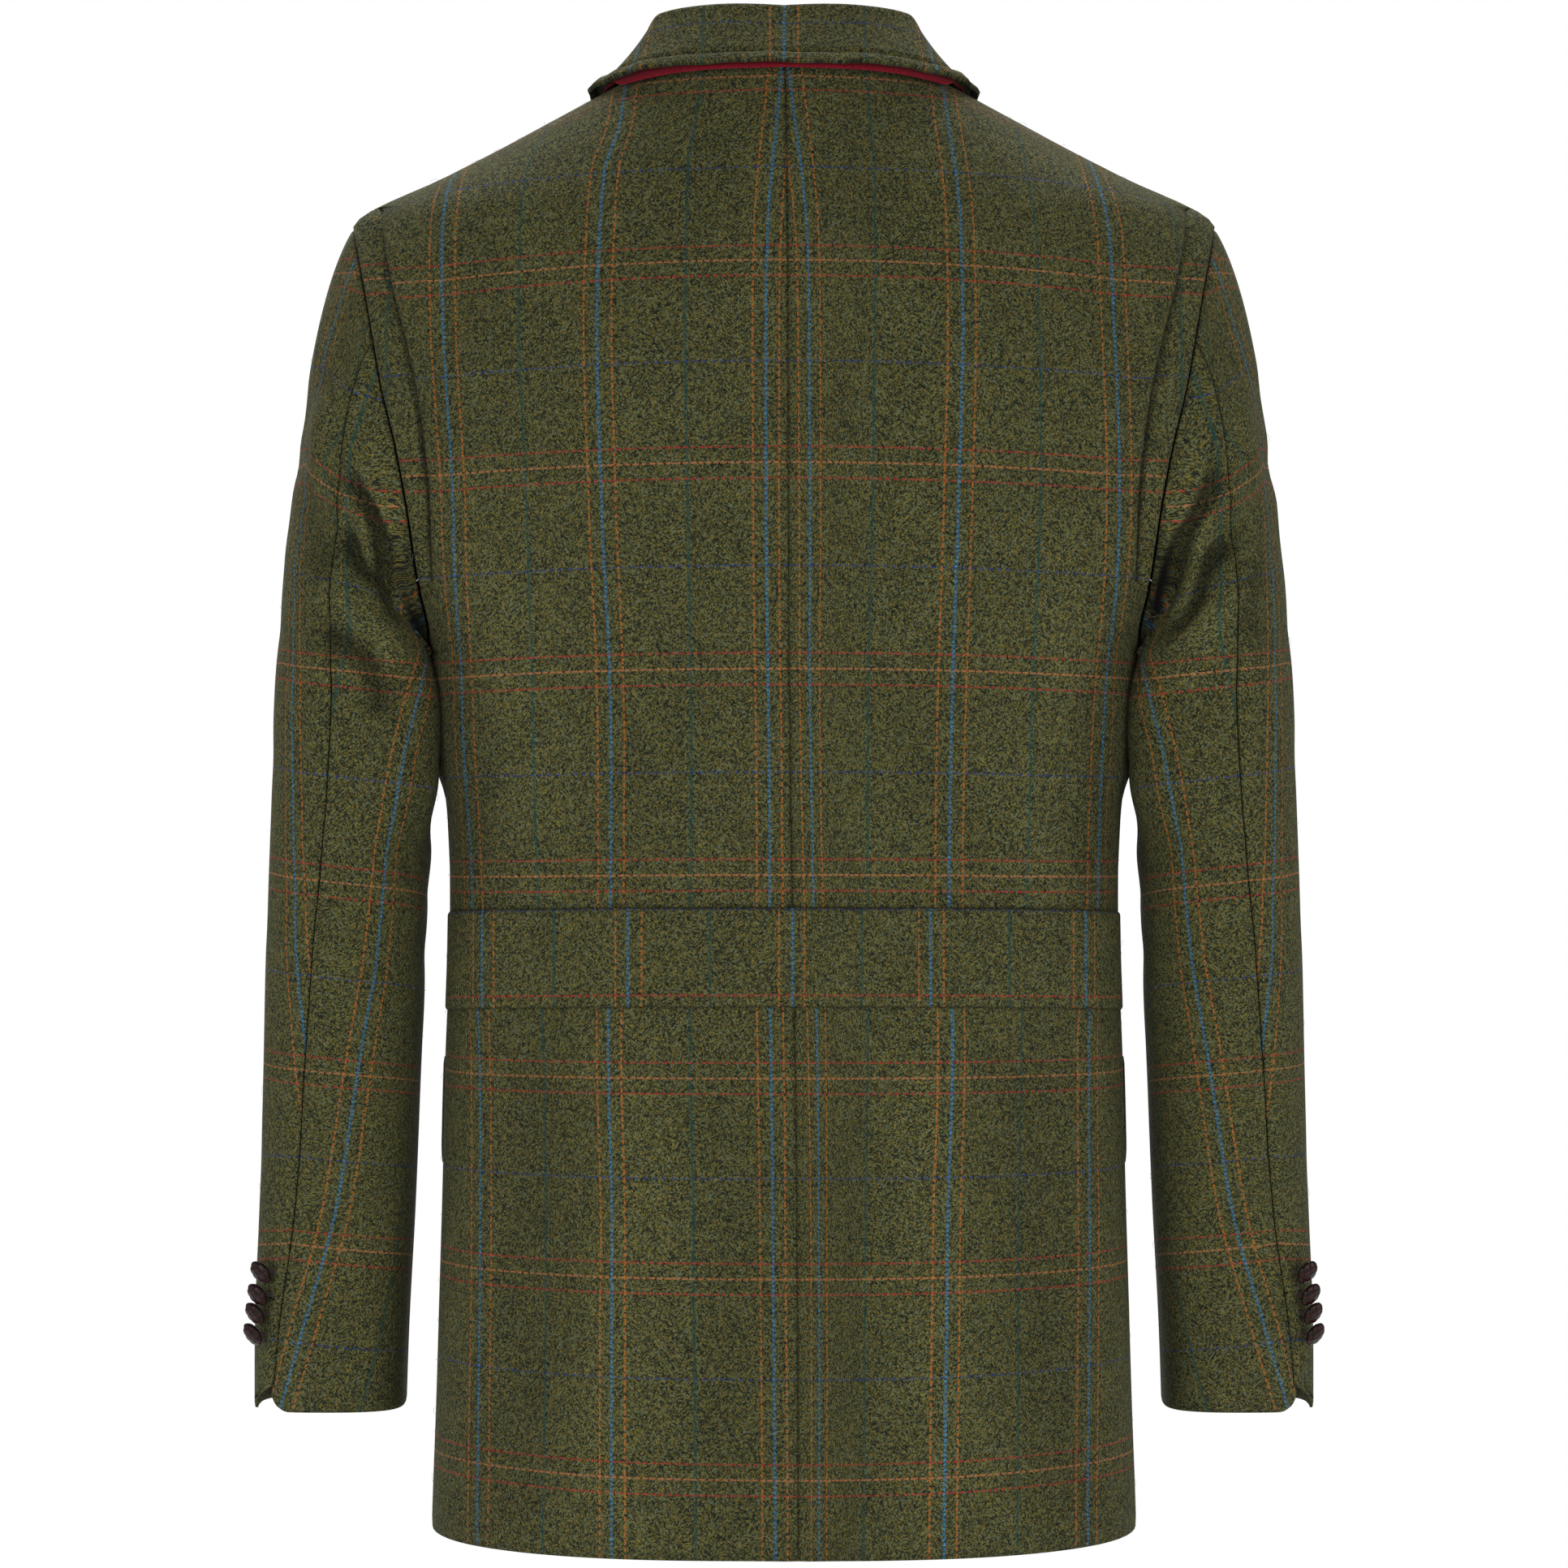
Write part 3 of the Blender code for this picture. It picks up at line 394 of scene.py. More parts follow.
FRONT_THREADS = (-1.2, -0.4, 0.4, 1.2)
FUZZ_PER_AREA = 1300
FUZZ_RADIUS = 0.075
FUZZ_LENGTHS = (2.0, 6.5)
FUZZ_CURLS = (-0.45, 0.45)
FUZZ_STANDS = (0.25, 0.9)
FUZZ_POINTS = 5
FUZZ_ARCH = 0.35
FUZZ_ARCH_END = 0.8

# Where the check's blue lines run on each half of the back, measured from its seam.
GRAIN_ROWS = table(
    "z centre left_teal left_2 left_3 right_teal right_2 right_3",
    (-750, 11.4, 47.4, 89.6, 162.7, 37.5, 83.2, 160.9),
    (-603, 12.0, 48.5, 89.6, 160.9, 39.0, 85.3, 162.2),
    (-506, 12.1, 50.0, 92.1, 161.8, 41.5, 88.3, 161.8),
    (-422, 11.3, 49.4, 90.9, 167.4, 42.0, 86.6, 168.7),
    (-342, 10.8, 48.8, 90.4, 172.1, 42.2, 87.5, 171.3),
    (-223, 11.4, 50.4, 95.1, 173.8, 45.2, 90.9, 176.4),
    (-122, 11.2, 51.7, 97.7, 179.4, 46.5, 93.4, 173.0),
    (-79, 10.2, 51.2, 96.4, 180.3, 47.0, 92.6, 171.3),
    (-45, 7.4, 50.5, 93.8, 178.0, 46.5, 90.0, 165.7),
    (-22, 4.8, 47.0, 87.0, 168.0, 45.0, 87.0, 162.0),
    (8, 1.8, 43.0, 84.0, 160.0, 43.0, 84.0, 158.0),
)
SEAM_DRIFT_WIDTH = 70
SEAM_DRIFT = (
    (-750, 7.4), (-680, 7.2), (-553, 6.4), (-490, 5.3), (-384, 3.6),
    (-299, 2.5), (-87, 1.9), (-36, 1.3), (10, 0.5),
)
CHECK_WIDTH = 88.0
CHECK_HEIGHT = 106.5
CHECK_ORANGE_OFF = 7.4
CHECK_RED_OFF = 8.2
FRONT_LINE = 32.0
FRONT_RING_ROW = -340
FRONT_LEAN = 0.55
FRONT_LEAN_Y = -125
FRONT_LEAN_ROWS = (-190, -90)
BACK_LINE_ZS = (-731.2, -627.4, -523.3, -417.0, -309.6, -202.3, -96.2, 3.6)
DROOP_X = 170
DROOP_END_X = 180
BACK_DROOP = ((-740, -4.0), (-520, 0.0), (-420, 2.0), (-200, 5.0), (-96, 8.0))
SLEEVE_LINE_ZS = (-615.5, -522.0, -421.0, -309.0, -215.0)
BELT_LINES = (-160.0, -76.5, -4.6, 81.6, 160.0)
BELT_LINE_Z = -488.0
SHOULDER_LEAN = 0.8
SHOULDER_LEAN_Y = 60
SHOULDER_LEAN_ROWS = (-130, -100)
STRIP_LINE_X = 210.0
STRIP_DROP = 5.0
UPPER_SLOPES = (
    (-620, -0.09), (-540, 0.05), (-290, 0.105), (-225, 0.38), (-190, 0.36), (-100, 0.2),
)
UNDER_SLOPES = ((-290, 0.105), (-225, 0.4), (-190, 0.4), (-100, 0.2))
UPPER_SLOPE_END = 45
UNDER_SLOPE_END = 110
COLLAR_LINE = 12.0

# How far round the cloth the sleeves' blue lines lie from the hind-arm seam, by the seam's height.
LINE_ROWS = table(
    "z upper under",
    (-709, -32.0, 6.0),
    (-667, -26.0, 14.0),
    (-594, -17.0, 23.5),
    (-519, -2.0, 30.0),
    (-450, 11.0, 36.0),
    (-378, 22.0, 38.0),
    (-330, 26.0, 45.0),
    (-280, 29.0, 54.0),
    (-240, 40.0, 52.0),
    (-210, 58.0, 50.0),
    (-180, 44.0, 50.0),
    (-160, 43.0, 52.0),
    (-135, 54.0, 54.0),
)

PICTURE_PIXELS = 1932
PIXEL_SIZE = 0.44
CAMERA_DISTANCE = 3000.0
CAMERA_Z = -369.6
FLOOR_Z = -1530.0
FLOOR_RADIUS = 4200.0
FLOOR_CORNERS = 96
LIGHT_AIM = (0.0, 0.0, -0.37)
LIGHTS = table(
    "name place size power",
    ("key_left", (1.7, 2.4, -0.35), (1.2, 1.8), 23),
    ("side_left", (2.6, 0.2, -0.2), (1.2, 1.8), 9),
    ("key_right", (-1.7, 2.4, -0.35), (1.2, 1.8), 23),
    ("side_right", (-2.6, 0.2, -0.2), (1.2, 1.8), 9),
    ("low_back", (0.0, 2.9, -0.9), (1.6, 0.8), 9),
    ("top", (0.0, -0.8, 1.5), (1.8, 1.0), 40),
    ("front", (0.3, -2.7, 0.2), (2.0, 1.8), 36),
)
WORLD_FILL = 0.20
RANDOM = np.random.default_rng(11)


def between(t, start, end, leave, arrive, reach):
    """The place at share t on a curve with these end points, end directions and reach."""
    ends = start * (1 + 2 * t) * (1 - t) ** 2 + end * (3 - 2 * t) * t**2
    bend = leave * t * (1 - t) ** 2 + arrive * (t - 1) * t**2
    return ends + reach * bend


def smooth_curve(places, values):
    """A smooth curve through the values that never swings past them."""
    places = np.asarray(places, float)
    values = np.asarray(values, float)
    step = np.diff(places)
    slope = np.diff(values) / step
    tangent = np.empty_like(values)
    tangent[0], tangent[-1] = slope[0], slope[-1]
    ahead, behind = 2 * step[1:] + step[:-1], step[1:] + 2 * step[:-1]
    rising = slope[1:] * slope[:-1] > 0
    safe = np.where(slope == 0, 1.0, slope)
    mean = (ahead + behind) / (ahead / safe[:-1] + behind / safe[1:])
    tangent[1:-1] = np.where(rising, mean, 0.0)

    def at(place):
        place = np.clip(place, places[0], places[-1])
        i = np.clip(np.searchsorted(places, place) - 1, 0, len(step) - 1)
        t = (place - places[i]) / step[i]
        return between(t, values[i], values[i + 1], tangent[i], tangent[i + 1], step[i])

    return at


def table_curves(table, key):
    """One smooth curve for every number column of a table, by column name."""
    rows = sorted(table, key=lambda row: getattr(row, key))
    names = [name for name in rows[0]._fields if name not in (key, "name")]
    places = [getattr(row, key) for row in rows]
    return {
        name: smooth_curve(places, [getattr(row, name) for row in rows])
        for name in names
    }


BODY = table_curves(BODY_RINGS, "back_z")
ARMHOLE = table_curves(ARMHOLE_ROWS, "row")
COLLAR = table_curves(COLLAR_ROWS, "turn")
LAPEL = table_curves(LAPEL_ROWS, "roll_z")
SLEEVE = table_curves(SLEEVE_RINGS, "z")
GRAIN = table_curves(GRAIN_ROWS, "z")
LINES = table_curves(LINE_ROWS, "z")


def ease(start, end, value):
    """0 at start, 1 at end, with soft ends."""
    t = np.clip((value - start) / (end - start), 0, 1)
    return t * t * (3 - 2 * t)


def bell(value, half_width):
    return np.exp(-((value / half_width) ** 2))


def ridge(shape, away):
    """A soft ridge along a line, or a trough where its height is negative."""
    return shape.height * bell(away - shape.at, shape.half_width)


def looked_up(place, rows):
    """The value at a place between a table's (place, value) rows."""
    return np.interp(place, *zip(*rows))


def unit(vectors):
    return vectors / np.linalg.norm(vectors, axis=-1, keepdims=True)


def signed_power(value, power):
    return np.sign(value) * np.abs(value) ** power


def refined(rows, step):
    """The rows with more between them, no further apart than step."""
    fine = [rows[0]]
    for a, b in zip(rows, rows[1:]):
        count = max(1, math.ceil(abs(b - a) / step))
        fine += [a + (b - a) * (i + 1) / count for i in range(count)]
    return [round(float(row), 4) for row in fine]


def body(turn, row):
    """Points of the body surface; turn goes in degrees from centre back round by +X."""
    turn, row = np.broadcast_arrays(np.radians(turn), np.asarray(row, float))
    power = 2 / BODY["squareness"](row)
    across = signed_power(np.sin(turn), power)
    along = signed_power(np.cos(turn), power)
    behind = along > 0
    reach = np.abs(along)
    end_y = np.where(behind, BODY["back_y"](row), BODY["front_y"](row))
    end_z = np.where(behind, row, BODY["front_z"](row))
    side_y, side_z = BODY["side_y"](row), BODY["side_z"](row)
    fall = np.where(behind, reach, reach**FRONT_ROUNDING)
    x = BODY["half_width"](row) * across
    y = side_y + (end_y - side_y) * reach
    z = side_z + (end_z - side_z) * fall
    return np.stack((x, y, z), axis=-1)


def body_normal(turn, row):
    """Directions out of the body surface."""
    turn, row = np.broadcast_arrays(np.asarray(turn, float), np.asarray(row, float))
    top = BODY_RINGS[-1].back_z
    along = body(turn + NORMAL_TURN_STEP, row) - body(turn - NORMAL_TURN_STEP, row)
    above, below = np.minimum(row + NORMAL_ROW_STEP, top), row - NORMAL_ROW_STEP
    up = body(turn, above) - body(turn, below)
    return unit(np.cross(up, along))


def turn_at(x, row, front=False):
    """The turn at which a body ring reaches x, on its back or its front half."""
    share = np.clip(x / BODY["half_width"](row), -1, 1)
    power = BODY["squareness"](row) / 2
    turn = math.degrees(math.asin(float(signed_power(share, power))))
    return 180 - turn if front else turn


def moved_turn(turn, row, distance):
    """The turn that lies this far along the ring, for small distances."""
    step = body(turn + MOVE_STEP, row) - body(turn - MOVE_STEP, row)
    speed = np.linalg.norm(step) / (2 * MOVE_STEP)
    return turn + distance / speed


def seam_turn(row, side=-1):
    """The turn of a side seam's edge, on the back (-1) or the front (1)."""
    return moved_turn(90.0, row, side * SEAM_GAP / 2)


def even_turns(row, start, end, shares):
    """Turns from start to end at these shares of the way along the ring."""
    fine = np.linspace(start, end, RING_SAMPLES)
    length = run_lengths(body(fine, row), axis=0)
    return np.interp(length[-1] * shares, length, fine)


def front_place(x, z):
    """The turn and row of the front where it is seen at this x and z."""
    low, high = HEM_ROW, BODY_RINGS[-1].back_z
    for _ in range(PLACE_ROUNDS):
        row = (low + high) / 2
        if body(turn_at(x, row, front=True), row)[2] < z:
            low = row
        else:
            high = row
    return turn_at(x, row, front=True), row


def grid_of(spans, shares):
    """Turn and row grids from (row, start turn, end turn) spans."""
    turns = np.array([even_turns(row, a, b, shares) for row, a, b in spans])
    rows = np.repeat([[row] for row, _, _ in spans], len(shares), axis=1)
    return turns, rows.astype(float)


def joined(first, second):
    """Two grids side by side that share the column where they meet."""
    return [np.concatenate((a, b[:, 1:]), axis=1) for a, b in zip(first, second)]


def pleat_rise(turn, row):
    """How far the back stands out where it lies over the pleat's underlay."""
    from_fold = ARMHOLE["fold_x"](row) - body(turn, row)[..., 0]
    near = ease(PLEAT_RISE_END, PLEAT_RISE_FULL, from_fold)
    flat = 1 - PLEAT_FLATTENED * ease(*PLEAT_FLAT_ROWS, row)
    flat = flat * np.where(row < PLEAT_END_ROW, ease(*PLEAT_LOW_SPREAD, from_fold), 1.0)
    return PLEAT_RISE * near * flat * ease(*PLEAT_FADE_ROWS, row)


def closure_rise(turn, row):
    """How far the left front stands out where it lies over the right one."""
    near = ease(CLOSURE_END_X, CLOSURE_FULL_X, body(turn, row)[..., 0])
    return CLOSURE_RISE * near * ease(CLOSURE_TOP_ROWS[1], CLOSURE_TOP_ROWS[0], row)


def no_rise(turn, row):
    return np.zeros_like(np.asarray(turn, float))


def skin(turns, rows, rise, lift=0.0):
    """Outer points and normals over the body, moved out by rise and lift."""
    normals = body_normal(turns, rows)
    out = rise(turns, rows) + lift
    return body(turns, rows) + normals * out[..., None], normals


def run_lengths(points, axis):
    """Lengths run along a path, or along a grid from its first row or column."""
    steps = np.linalg.norm(np.diff(points, axis=axis), axis=-1)
    start = np.zeros_like(np.take(steps, [0], axis=axis))
    return np.concatenate((start, np.cumsum(steps, axis=axis)), axis=axis)


def lengths_left(points):
    """Lengths left to run along a grid to its last column."""
    run = run_lengths(points, axis=1)
    return run[:, -1:] - run


def rise_lengths(points):
    """Lengths run up a grid's columns, leaving sideways spread out."""
    steps = np.diff(points, axis=0)
    steps = np.sign(steps[..., 2]) * np.hypot(steps[..., 1], steps[..., 2])
    return np.concatenate((np.zeros((1, points.shape[1])), np.cumsum(steps, axis=0)))


def grid_normals(points, like):
    """Normals of a point grid, on the side of the given ones."""
    along = np.gradient(points, axis=1)
    across = np.gradient(points, axis=0)
    normals = np.cross(across, along)
    size = np.linalg.norm(normals, axis=-1, keepdims=True)
    normals = np.where(size > TINY, normals / np.maximum(size, TINY), like)
    return np.where(np.sum(normals * like) < 0, -normals, normals)


def fold_relief(points, folds):
    """Soft troughs and ridges along lines seen from the front or back."""
    relief = np.zeros(points.shape[:-1])
    x, z = np.abs(points[..., 0]), points[..., 2]
    for fold in folds:
        dx, dz = fold.x1 - fold.x0, fold.z1 - fold.z0
        length = math.hypot(dx, dz)
        along = ((x - fold.x0) * dx + (z - fold.z0) * dz) / length**2
        across = ((x - fold.x0) * dz - (z - fold.z0) * dx) / length
        swing = min(FOLD_WANDER, FOLD_WANDER_SHARE * fold.half_width)
        wander = swing * np.sin(FOLD_WAVES * along + fold.x0)
        taper = ease(*FOLD_START, along) * ease(*FOLD_END, along)
        relief -= fold.depth * taper * bell(across + wander, fold.half_width)
    return relief


def fold_shade(relief, depth):
    """Painted shade for folds: troughs are painted darker and ridges a little lighter."""
    return np.clip(-relief / depth, *FOLD_SHADES)


def ripple(points, piece):
    """Slight unevenness of cloth that hangs, the same in every run."""
    x, y, z = np.moveaxis(points, -1, 0)
    waves = np.sin(x / 37 + z / 61) + np.sin(z / 43 - y / 29 + 1.7)
    waves = waves + 0.6 * np.sin(x / 17 - z / 23 + y / 19)
    return RIPPLE_SIZES[piece] * waves / 2.6


def seam_dip(points, sides):
    """Cloth turns in at a sewn edge and stands up a little over its turnings."""
    run = run_lengths(points, axis=1)
    relief = np.zeros(run.shape)
    for side in sides:
        away = run if side == "first" else run[:, -1:] - run
        relief += ridge(SEAM_RIDGE, away) + ridge(SEAM_DIP, away)
    return relief


def displaced(points, normals, relief):
    """Points moved along their normals, with new normals that stay as they were at the edges."""
    moved = points + normals * relief[..., None]
    fresh = grid_normals(moved, normals)
    for edge in (0, -1):
        fresh[edge] = normals[edge]
        fresh[:, edge] = normals[:, edge]
    return moved, fresh


def mirrored(points):
    return points * np.array((-1.0, 1.0, 1.0))


def flipped(cloth):
    """Cloth coordinates for the mirrored piece."""
    return cloth * np.array((-1.0, 1.0))


def other_side(outer, normals, cloth):
    """A left piece's grids as they are on the right."""
    return mirrored(outer), mirrored(normals), flipped(cloth)


def cut_sizes(points):
    """Flat width, length and area of the cut that this grid was sewn from, in metres."""
    wide = run_lengths(points, axis=1)[:, -1]
    long = run_lengths(points, axis=0)[-1]
    a = points[1:, :-1] - points[:-1, :-1]
    b = points[:-1, 1:] - points[:-1, :-1]
    c = points[1:, :-1] - points[1:, 1:]
    d = points[:-1, 1:] - points[1:, 1:]
    crossed = np.linalg.norm(np.cross(a, b), axis=-1)
    crossed = crossed + np.linalg.norm(np.cross(c, d), axis=-1)
    area = crossed.sum() / 2
    width, length = wide.max() * METRES, long.max() * METRES
    return width, length, min(area * METRES**2, width * length)


def shell(name, outer, normals, cloth, wall, material, shade):
    """A thin closed cloth shell with softly turned edges, painted shade and the cloth's own
    coordinates.
    """
    rows, columns = outer.shape[:2]
    count = rows * columns
    inner = outer - wall * normals
    index = np.arange(count).reshape(rows, columns)
    rim = np.concatenate(
        (index[0], index[1:, -1], index[-1, -2::-1], index[-2:0:-1, 0])
    )
    middle = ((outer + inner) / 2).reshape(-1, 3)[rim]
    soft = outer.copy()
    for edge, beside in ((0, 1), (-1, -2)):
        soft[edge] += EDGE_INSET * unit(outer[beside] - outer[edge])
        soft[:, edge] += EDGE_INSET * unit(outer[:, beside] - outer[:, edge])
        soft[edge] -= EDGE_DROP * normals[edge]
        soft[:, edge] -= EDGE_DROP * normals[:, edge]
    points = np.concatenate((soft.reshape(-1, 3), inner.reshape(-1, 3), middle))
    # Painted shade: these values darken the cloth's colour at seams, folds, creases and the rim,
    # and lighten it a little on ridges.
    turned_in = np.zeros(len(points))
    turned_in[:count] = shade.ravel()
    turned_in[rim] = np.maximum(turned_in[rim], RIM_SHADE[0])
    turned_in[count : 2 * count] = RIM_SHADE[1]
    turned_in[2 * count :] = RIM_SHADE[2]
    coords = np.concatenate((cloth.reshape(-1, 2),) * 2 + (cloth.reshape(-1, 2)[rim],))
    quads = np.stack(
        (index[:-1, :-1], index[:-1, 1:], index[1:, 1:], index[1:, :-1]), axis=-1
    ).reshape(-1, 4)
    ahead = np.roll(np.arange(len(rim)), -1)
    here = np.arange(len(rim))
    upper = np.stack((rim[ahead], rim, 2 * count + here, 2 * count + ahead), axis=-1)
    lower = np.stack(
        (2 * count + ahead, 2 * count + here, count + rim, count + rim[ahead]), axis=-1
    )
    faces = np.concatenate((quads, count + quads[:, ::-1], upper, lower))
    one = points[quads[len(quads) // 2]]
    facing = np.cross(one[1] - one[0], one[3] - one[0])
    if facing @ normals.reshape(-1, 3)[quads[len(quads) // 2][0]] < 0:
        faces = faces[:, ::-1]
    piece = solid(name, points, faces, coords, material)
    layer = piece.data.attributes.new("turned_in", "FLOAT", "POINT")
    layer.data.foreach_set("value", turned_in)
    return piece


def solid(name, points, faces, coords, material):
    """A smooth mesh piece that rides on the jacket's one body."""
    data = bpy.data.meshes.new(name)
    corners = [tuple(int(i) for i in face) for face in faces]
    data.from_pydata((points * METRES).tolist(), [], corners)
    if coords is not None:
        layer = data.uv_layers.new(name="cloth")
        loops = np.empty(len(data.loops), int)
        data.loops.foreach_get("vertex_index", loops)
        layer.data.foreach_set("uv", (coords[loops] * METRES).ravel())
    data.shade_smooth()
    data.materials.append(material)
    piece = bpy.data.objects.new(name, data)
    bpy.context.scene.collection.objects.link(piece)
    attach(piece, "root")
    return piece


def cloth_piece(node, outer, normals, cloth, wall=TWEED, felt=False, shade=None):
    """A cloth shell that stands for its solid and states the cut it was sewn from."""
    if shade is None:
        shade = np.zeros(outer.shape[:2])
    slot = "felt" if felt else "tweed"
    piece = shell(f"{node}_cloth", outer, normals, cloth, wall, MATERIALS[slot], shade)
    width, length, area = cut_sizes(outer)
    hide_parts(node)
    CUTS.append((node, width, length, area))
    SURFACES.append((outer, normals))


def unmoved(points):
    return points


def seam_drifted(points):
    """The centre seam wanders to the wearer's right on its way down to the hem."""
    drift = looked_up(points[..., 2], SEAM_DRIFT)
    near = ease(SEAM_DRIFT_WIDTH, 0, np.abs(points[..., 0]))
    moved = points.copy()
    moved[..., 0] -= drift * near
    return moved


def both_sides(node, outer, normals, cloths, shade=None, place=unmoved):
    """A piece and its mirror image, each with its own cloth coordinates."""
    left, right = cloths
    cloth_piece(f"{node}_left", place(outer), normals, left, shade=shade)
    far, far_normals = mirrored(outer), mirrored(normals)
    cloth_piece(f"{node}_right", place(far), far_normals, right, shade=shade)


def check_from(x, run, lines):
    """Cloth coordinate across: blue lines one check apart, a teal one between the first two."""
    first, teal, second, third = lines
    near = 0.5 * (x - first) / (teal - first)
    middle = 0.5 + 0.5 * (x - teal) / (second - teal)
    far = 1 + (x - second) / (third - second)
    share = CHECK_WIDTH * np.where(x < teal, near, np.where(x < second, middle, far))
    start = [np.interp(end, xs, runs) for end, xs, runs in zip(third.max(axis=1), x, run)]
    beyond = run - np.array(start)[:, None]
    return np.where(beyond > 0, 2 * CHECK_WIDTH + beyond, np.minimum(share, 2 * CHECK_WIDTH))


def lines_up(z, line_zs):
    """Cloth coordinate up: orange lines at these heights, one check apart."""
    places = np.array(line_zs)
    steps = CHECK_HEIGHT * np.arange(len(places))
    beyond = np.minimum(z - places[0], 0) + np.maximum(z - places[-1], 0)
    return np.interp(z, places, steps) + beyond


def back_cloth(points, side):
    """Cloth coordinates of a back half, with its check as it lies in the photo."""
    x, z = points[..., 0], points[..., 2]
    columns = "centre", f"{side}_teal", f"{side}_2", f"{side}_3"
    lines = [GRAIN[column](z) for column in columns]
    across = check_from(x, run_lengths(points, axis=1), lines)
    droop = looked_up(z, BACK_DROOP) * (np.minimum(x, DROOP_END_X) / DROOP_X) ** 2
    over_shoulder = np.maximum(SHOULDER_LEAN_Y - points[..., 1], 0) * ease(*SHOULDER_LEAN_ROWS, z)
    up = lines_up(z, BACK_LINE_ZS) + droop + SHOULDER_LEAN * over_shoulder
    return np.stack((across if side == "left" else -across, up), axis=-1)


def fold_turn(row):
    """The turn of the back's outer edge where it is the pleat's fold."""
    if row >= PLEAT_TOP_ROW:
        return seam_turn(row)
    return turn_at(ARMHOLE["fold_x"](row), row)


def tuck_turn(row):
    """The turn up to which the underlay reaches in under the back."""
    seam = seam_turn(row)
    shoulder = even_turns(row, 0.0, seam, SHOULDER_SHARES)[-2]
    return min(turn_at(ARMHOLE["fold_x"](row) - PLEAT_TUCK, row), shoulder)


ARMPIT_FINE = refined(ARMPIT_ROWS, ROW_STEP)
PLEAT_FINE = refined(PLEAT_ROWS, ROW_STEP)
BACK_FINE = refined(LOWER_ROWS + ARMPIT_ROWS[:1], ROW_STEP)[:-1] + ARMPIT_FINE
BACK_FINE += PLEAT_FINE + refined(PLEAT_ROWS[-1:] + SHOULDER_ROWS, ROW_STEP)[1:]
UNDERLAY_FINE = list(UNDERLAY_LOW_ROWS) + PLEAT_FINE
UNDERLAY_FINE += refined(PLEAT_ROWS[-1:] + SHOULDER_ROWS[:3], ROW_STEP)[1:]
FRONT_FINE = refined(CORNER_ROWS + FRONT_LOWER_ROWS + ARMPIT_ROWS[:1], ROW_STEP)[:-1]
FRONT_FINE += ARMPIT_FINE + PLEAT_FINE
FRONT_FINE += refined(PLEAT_ROWS[-1:] + FRONT_TOP_ROWS, ROW_STEP)[1:]


def back_grid():
    middle, tuck = [], []
    for row in BACK_FINE:
        end = fold_turn(row)
        if row <= UNDERARM_ROW:
            end = seam_turn(row)
        elif row < PLEAT_END_ROW:
            end = turn_at(ARMHOLE["back_x"](row), row)
        middle.append((row, moved_turn(0.0, row, SEAM_TOUCH), tuck_turn(row)))
        tuck.append((row, tuck_turn(row), end))
    return joined(grid_of(middle, BACK_SHARES), grid_of(tuck, TUCK_SHARES))


def underlay_grid():
    tuck, strip = [], []
    for row in UNDERLAY_FINE:
        end = seam_turn(row)
        if row < TIP_ROW:
            end = turn_at(ARMHOLE["back_x"](row), row)
        if row < PLEAT_END_ROW:
            end = moved_turn(end, row, -1.0)
        fold = fold_turn(row)
        if row >= PLEAT_TOP_ROW:
            fold = moved_turn(90.0, row, -STRIP_END)
        tuck.append((row, tuck_turn(row), fold))
        strip.append((row, fold, end))
    return joined(grid_of(tuck, TUCK_SHARES), grid_of(strip, STRIP_SHARES))


def corner_cut(row, start, radius):
    """How much a rounded corner takes off a row below its start."""
    down = np.clip(start - row, 0, radius)
    return radius - math.sqrt(radius**2 - down**2)


def roll_x(z):
    """Where the fronts' roll line is seen at this height."""
    share = (z - BREAK_Z) / (ROLL_TOP_Z - BREAK_Z)
    return -FRONT_OVERLAP + (ROLL_TOP_X + FRONT_OVERLAP) * share


def front_edge_x(row):
    """The left front's own edge: the closure, its rounded hem corner and the roll line."""
    if row <= BREAK_Z:
        return corner_cut(row, CORNER_ROWS[-1], HEM_CORNER_RADIUS) - FRONT_OVERLAP
    x = 0.0
    for _ in range(EDGE_ROUNDS):
        x = roll_x(body(turn_at(x, row, front=True), row)[2])
    return x


def front_spans():
    spans = []
    for row in FRONT_FINE:
        start = seam_turn(row, 1)
        if UNDERARM_ROW < row < TIP_ROW:
            start = turn_at(ARMHOLE["front_x"](row), row, front=True)
        spans.append((row, start, turn_at(front_edge_x(row), row, front=True)))
    return spans


def make_backs():
    turns, rows = back_grid()
    base, out = skin(turns, rows, pleat_rise)
    run, from_fold = run_lengths(base, axis=1), lengths_left(base)
    folds = fold_relief(base, BACK_FOLDS)
    calm = ease(0, HEM_CALM_ROWS, np.arange(len(BACK_FINE)))[:, None]
    relief = folds + ripple(base, "back") * calm
    relief = relief * ease(0, SEAM_CALM, run) + seam_dip(base, ("first",))
    pleat = (np.array(BACK_FINE) >= PLEAT_END_ROW)[:, None]
    relief = relief + ridge(PLEAT_ROLL, from_fold) * pleat
    outer, normals = displaced(base, out, relief)
    cloths = back_cloth(base, "left"), back_cloth(base, "right")
    shade = ridge(PLEAT_FOLD_SHADE, from_fold) * pleat + ridge(SEAM_SHADE, run)
    shade = shade + fold_shade(folds, BACK_FOLD_DEPTH)
    for edge in BELT_EDGES:
        shade = shade + ridge(BELT_EDGE_SHADE, rows - edge)
    both_sides("back", outer, normals, cloths, shade, seam_drifted)
    low, high = (BACK_FINE.index(float(row)) for row in BELT_EDGES)
    make_belt(outer[low : high + 1], normals[low : high + 1])
    edge = [BACK_FINE.index(row) for row in ARMPIT_FINE]
    return base[edge, -1], out[edge, -1]


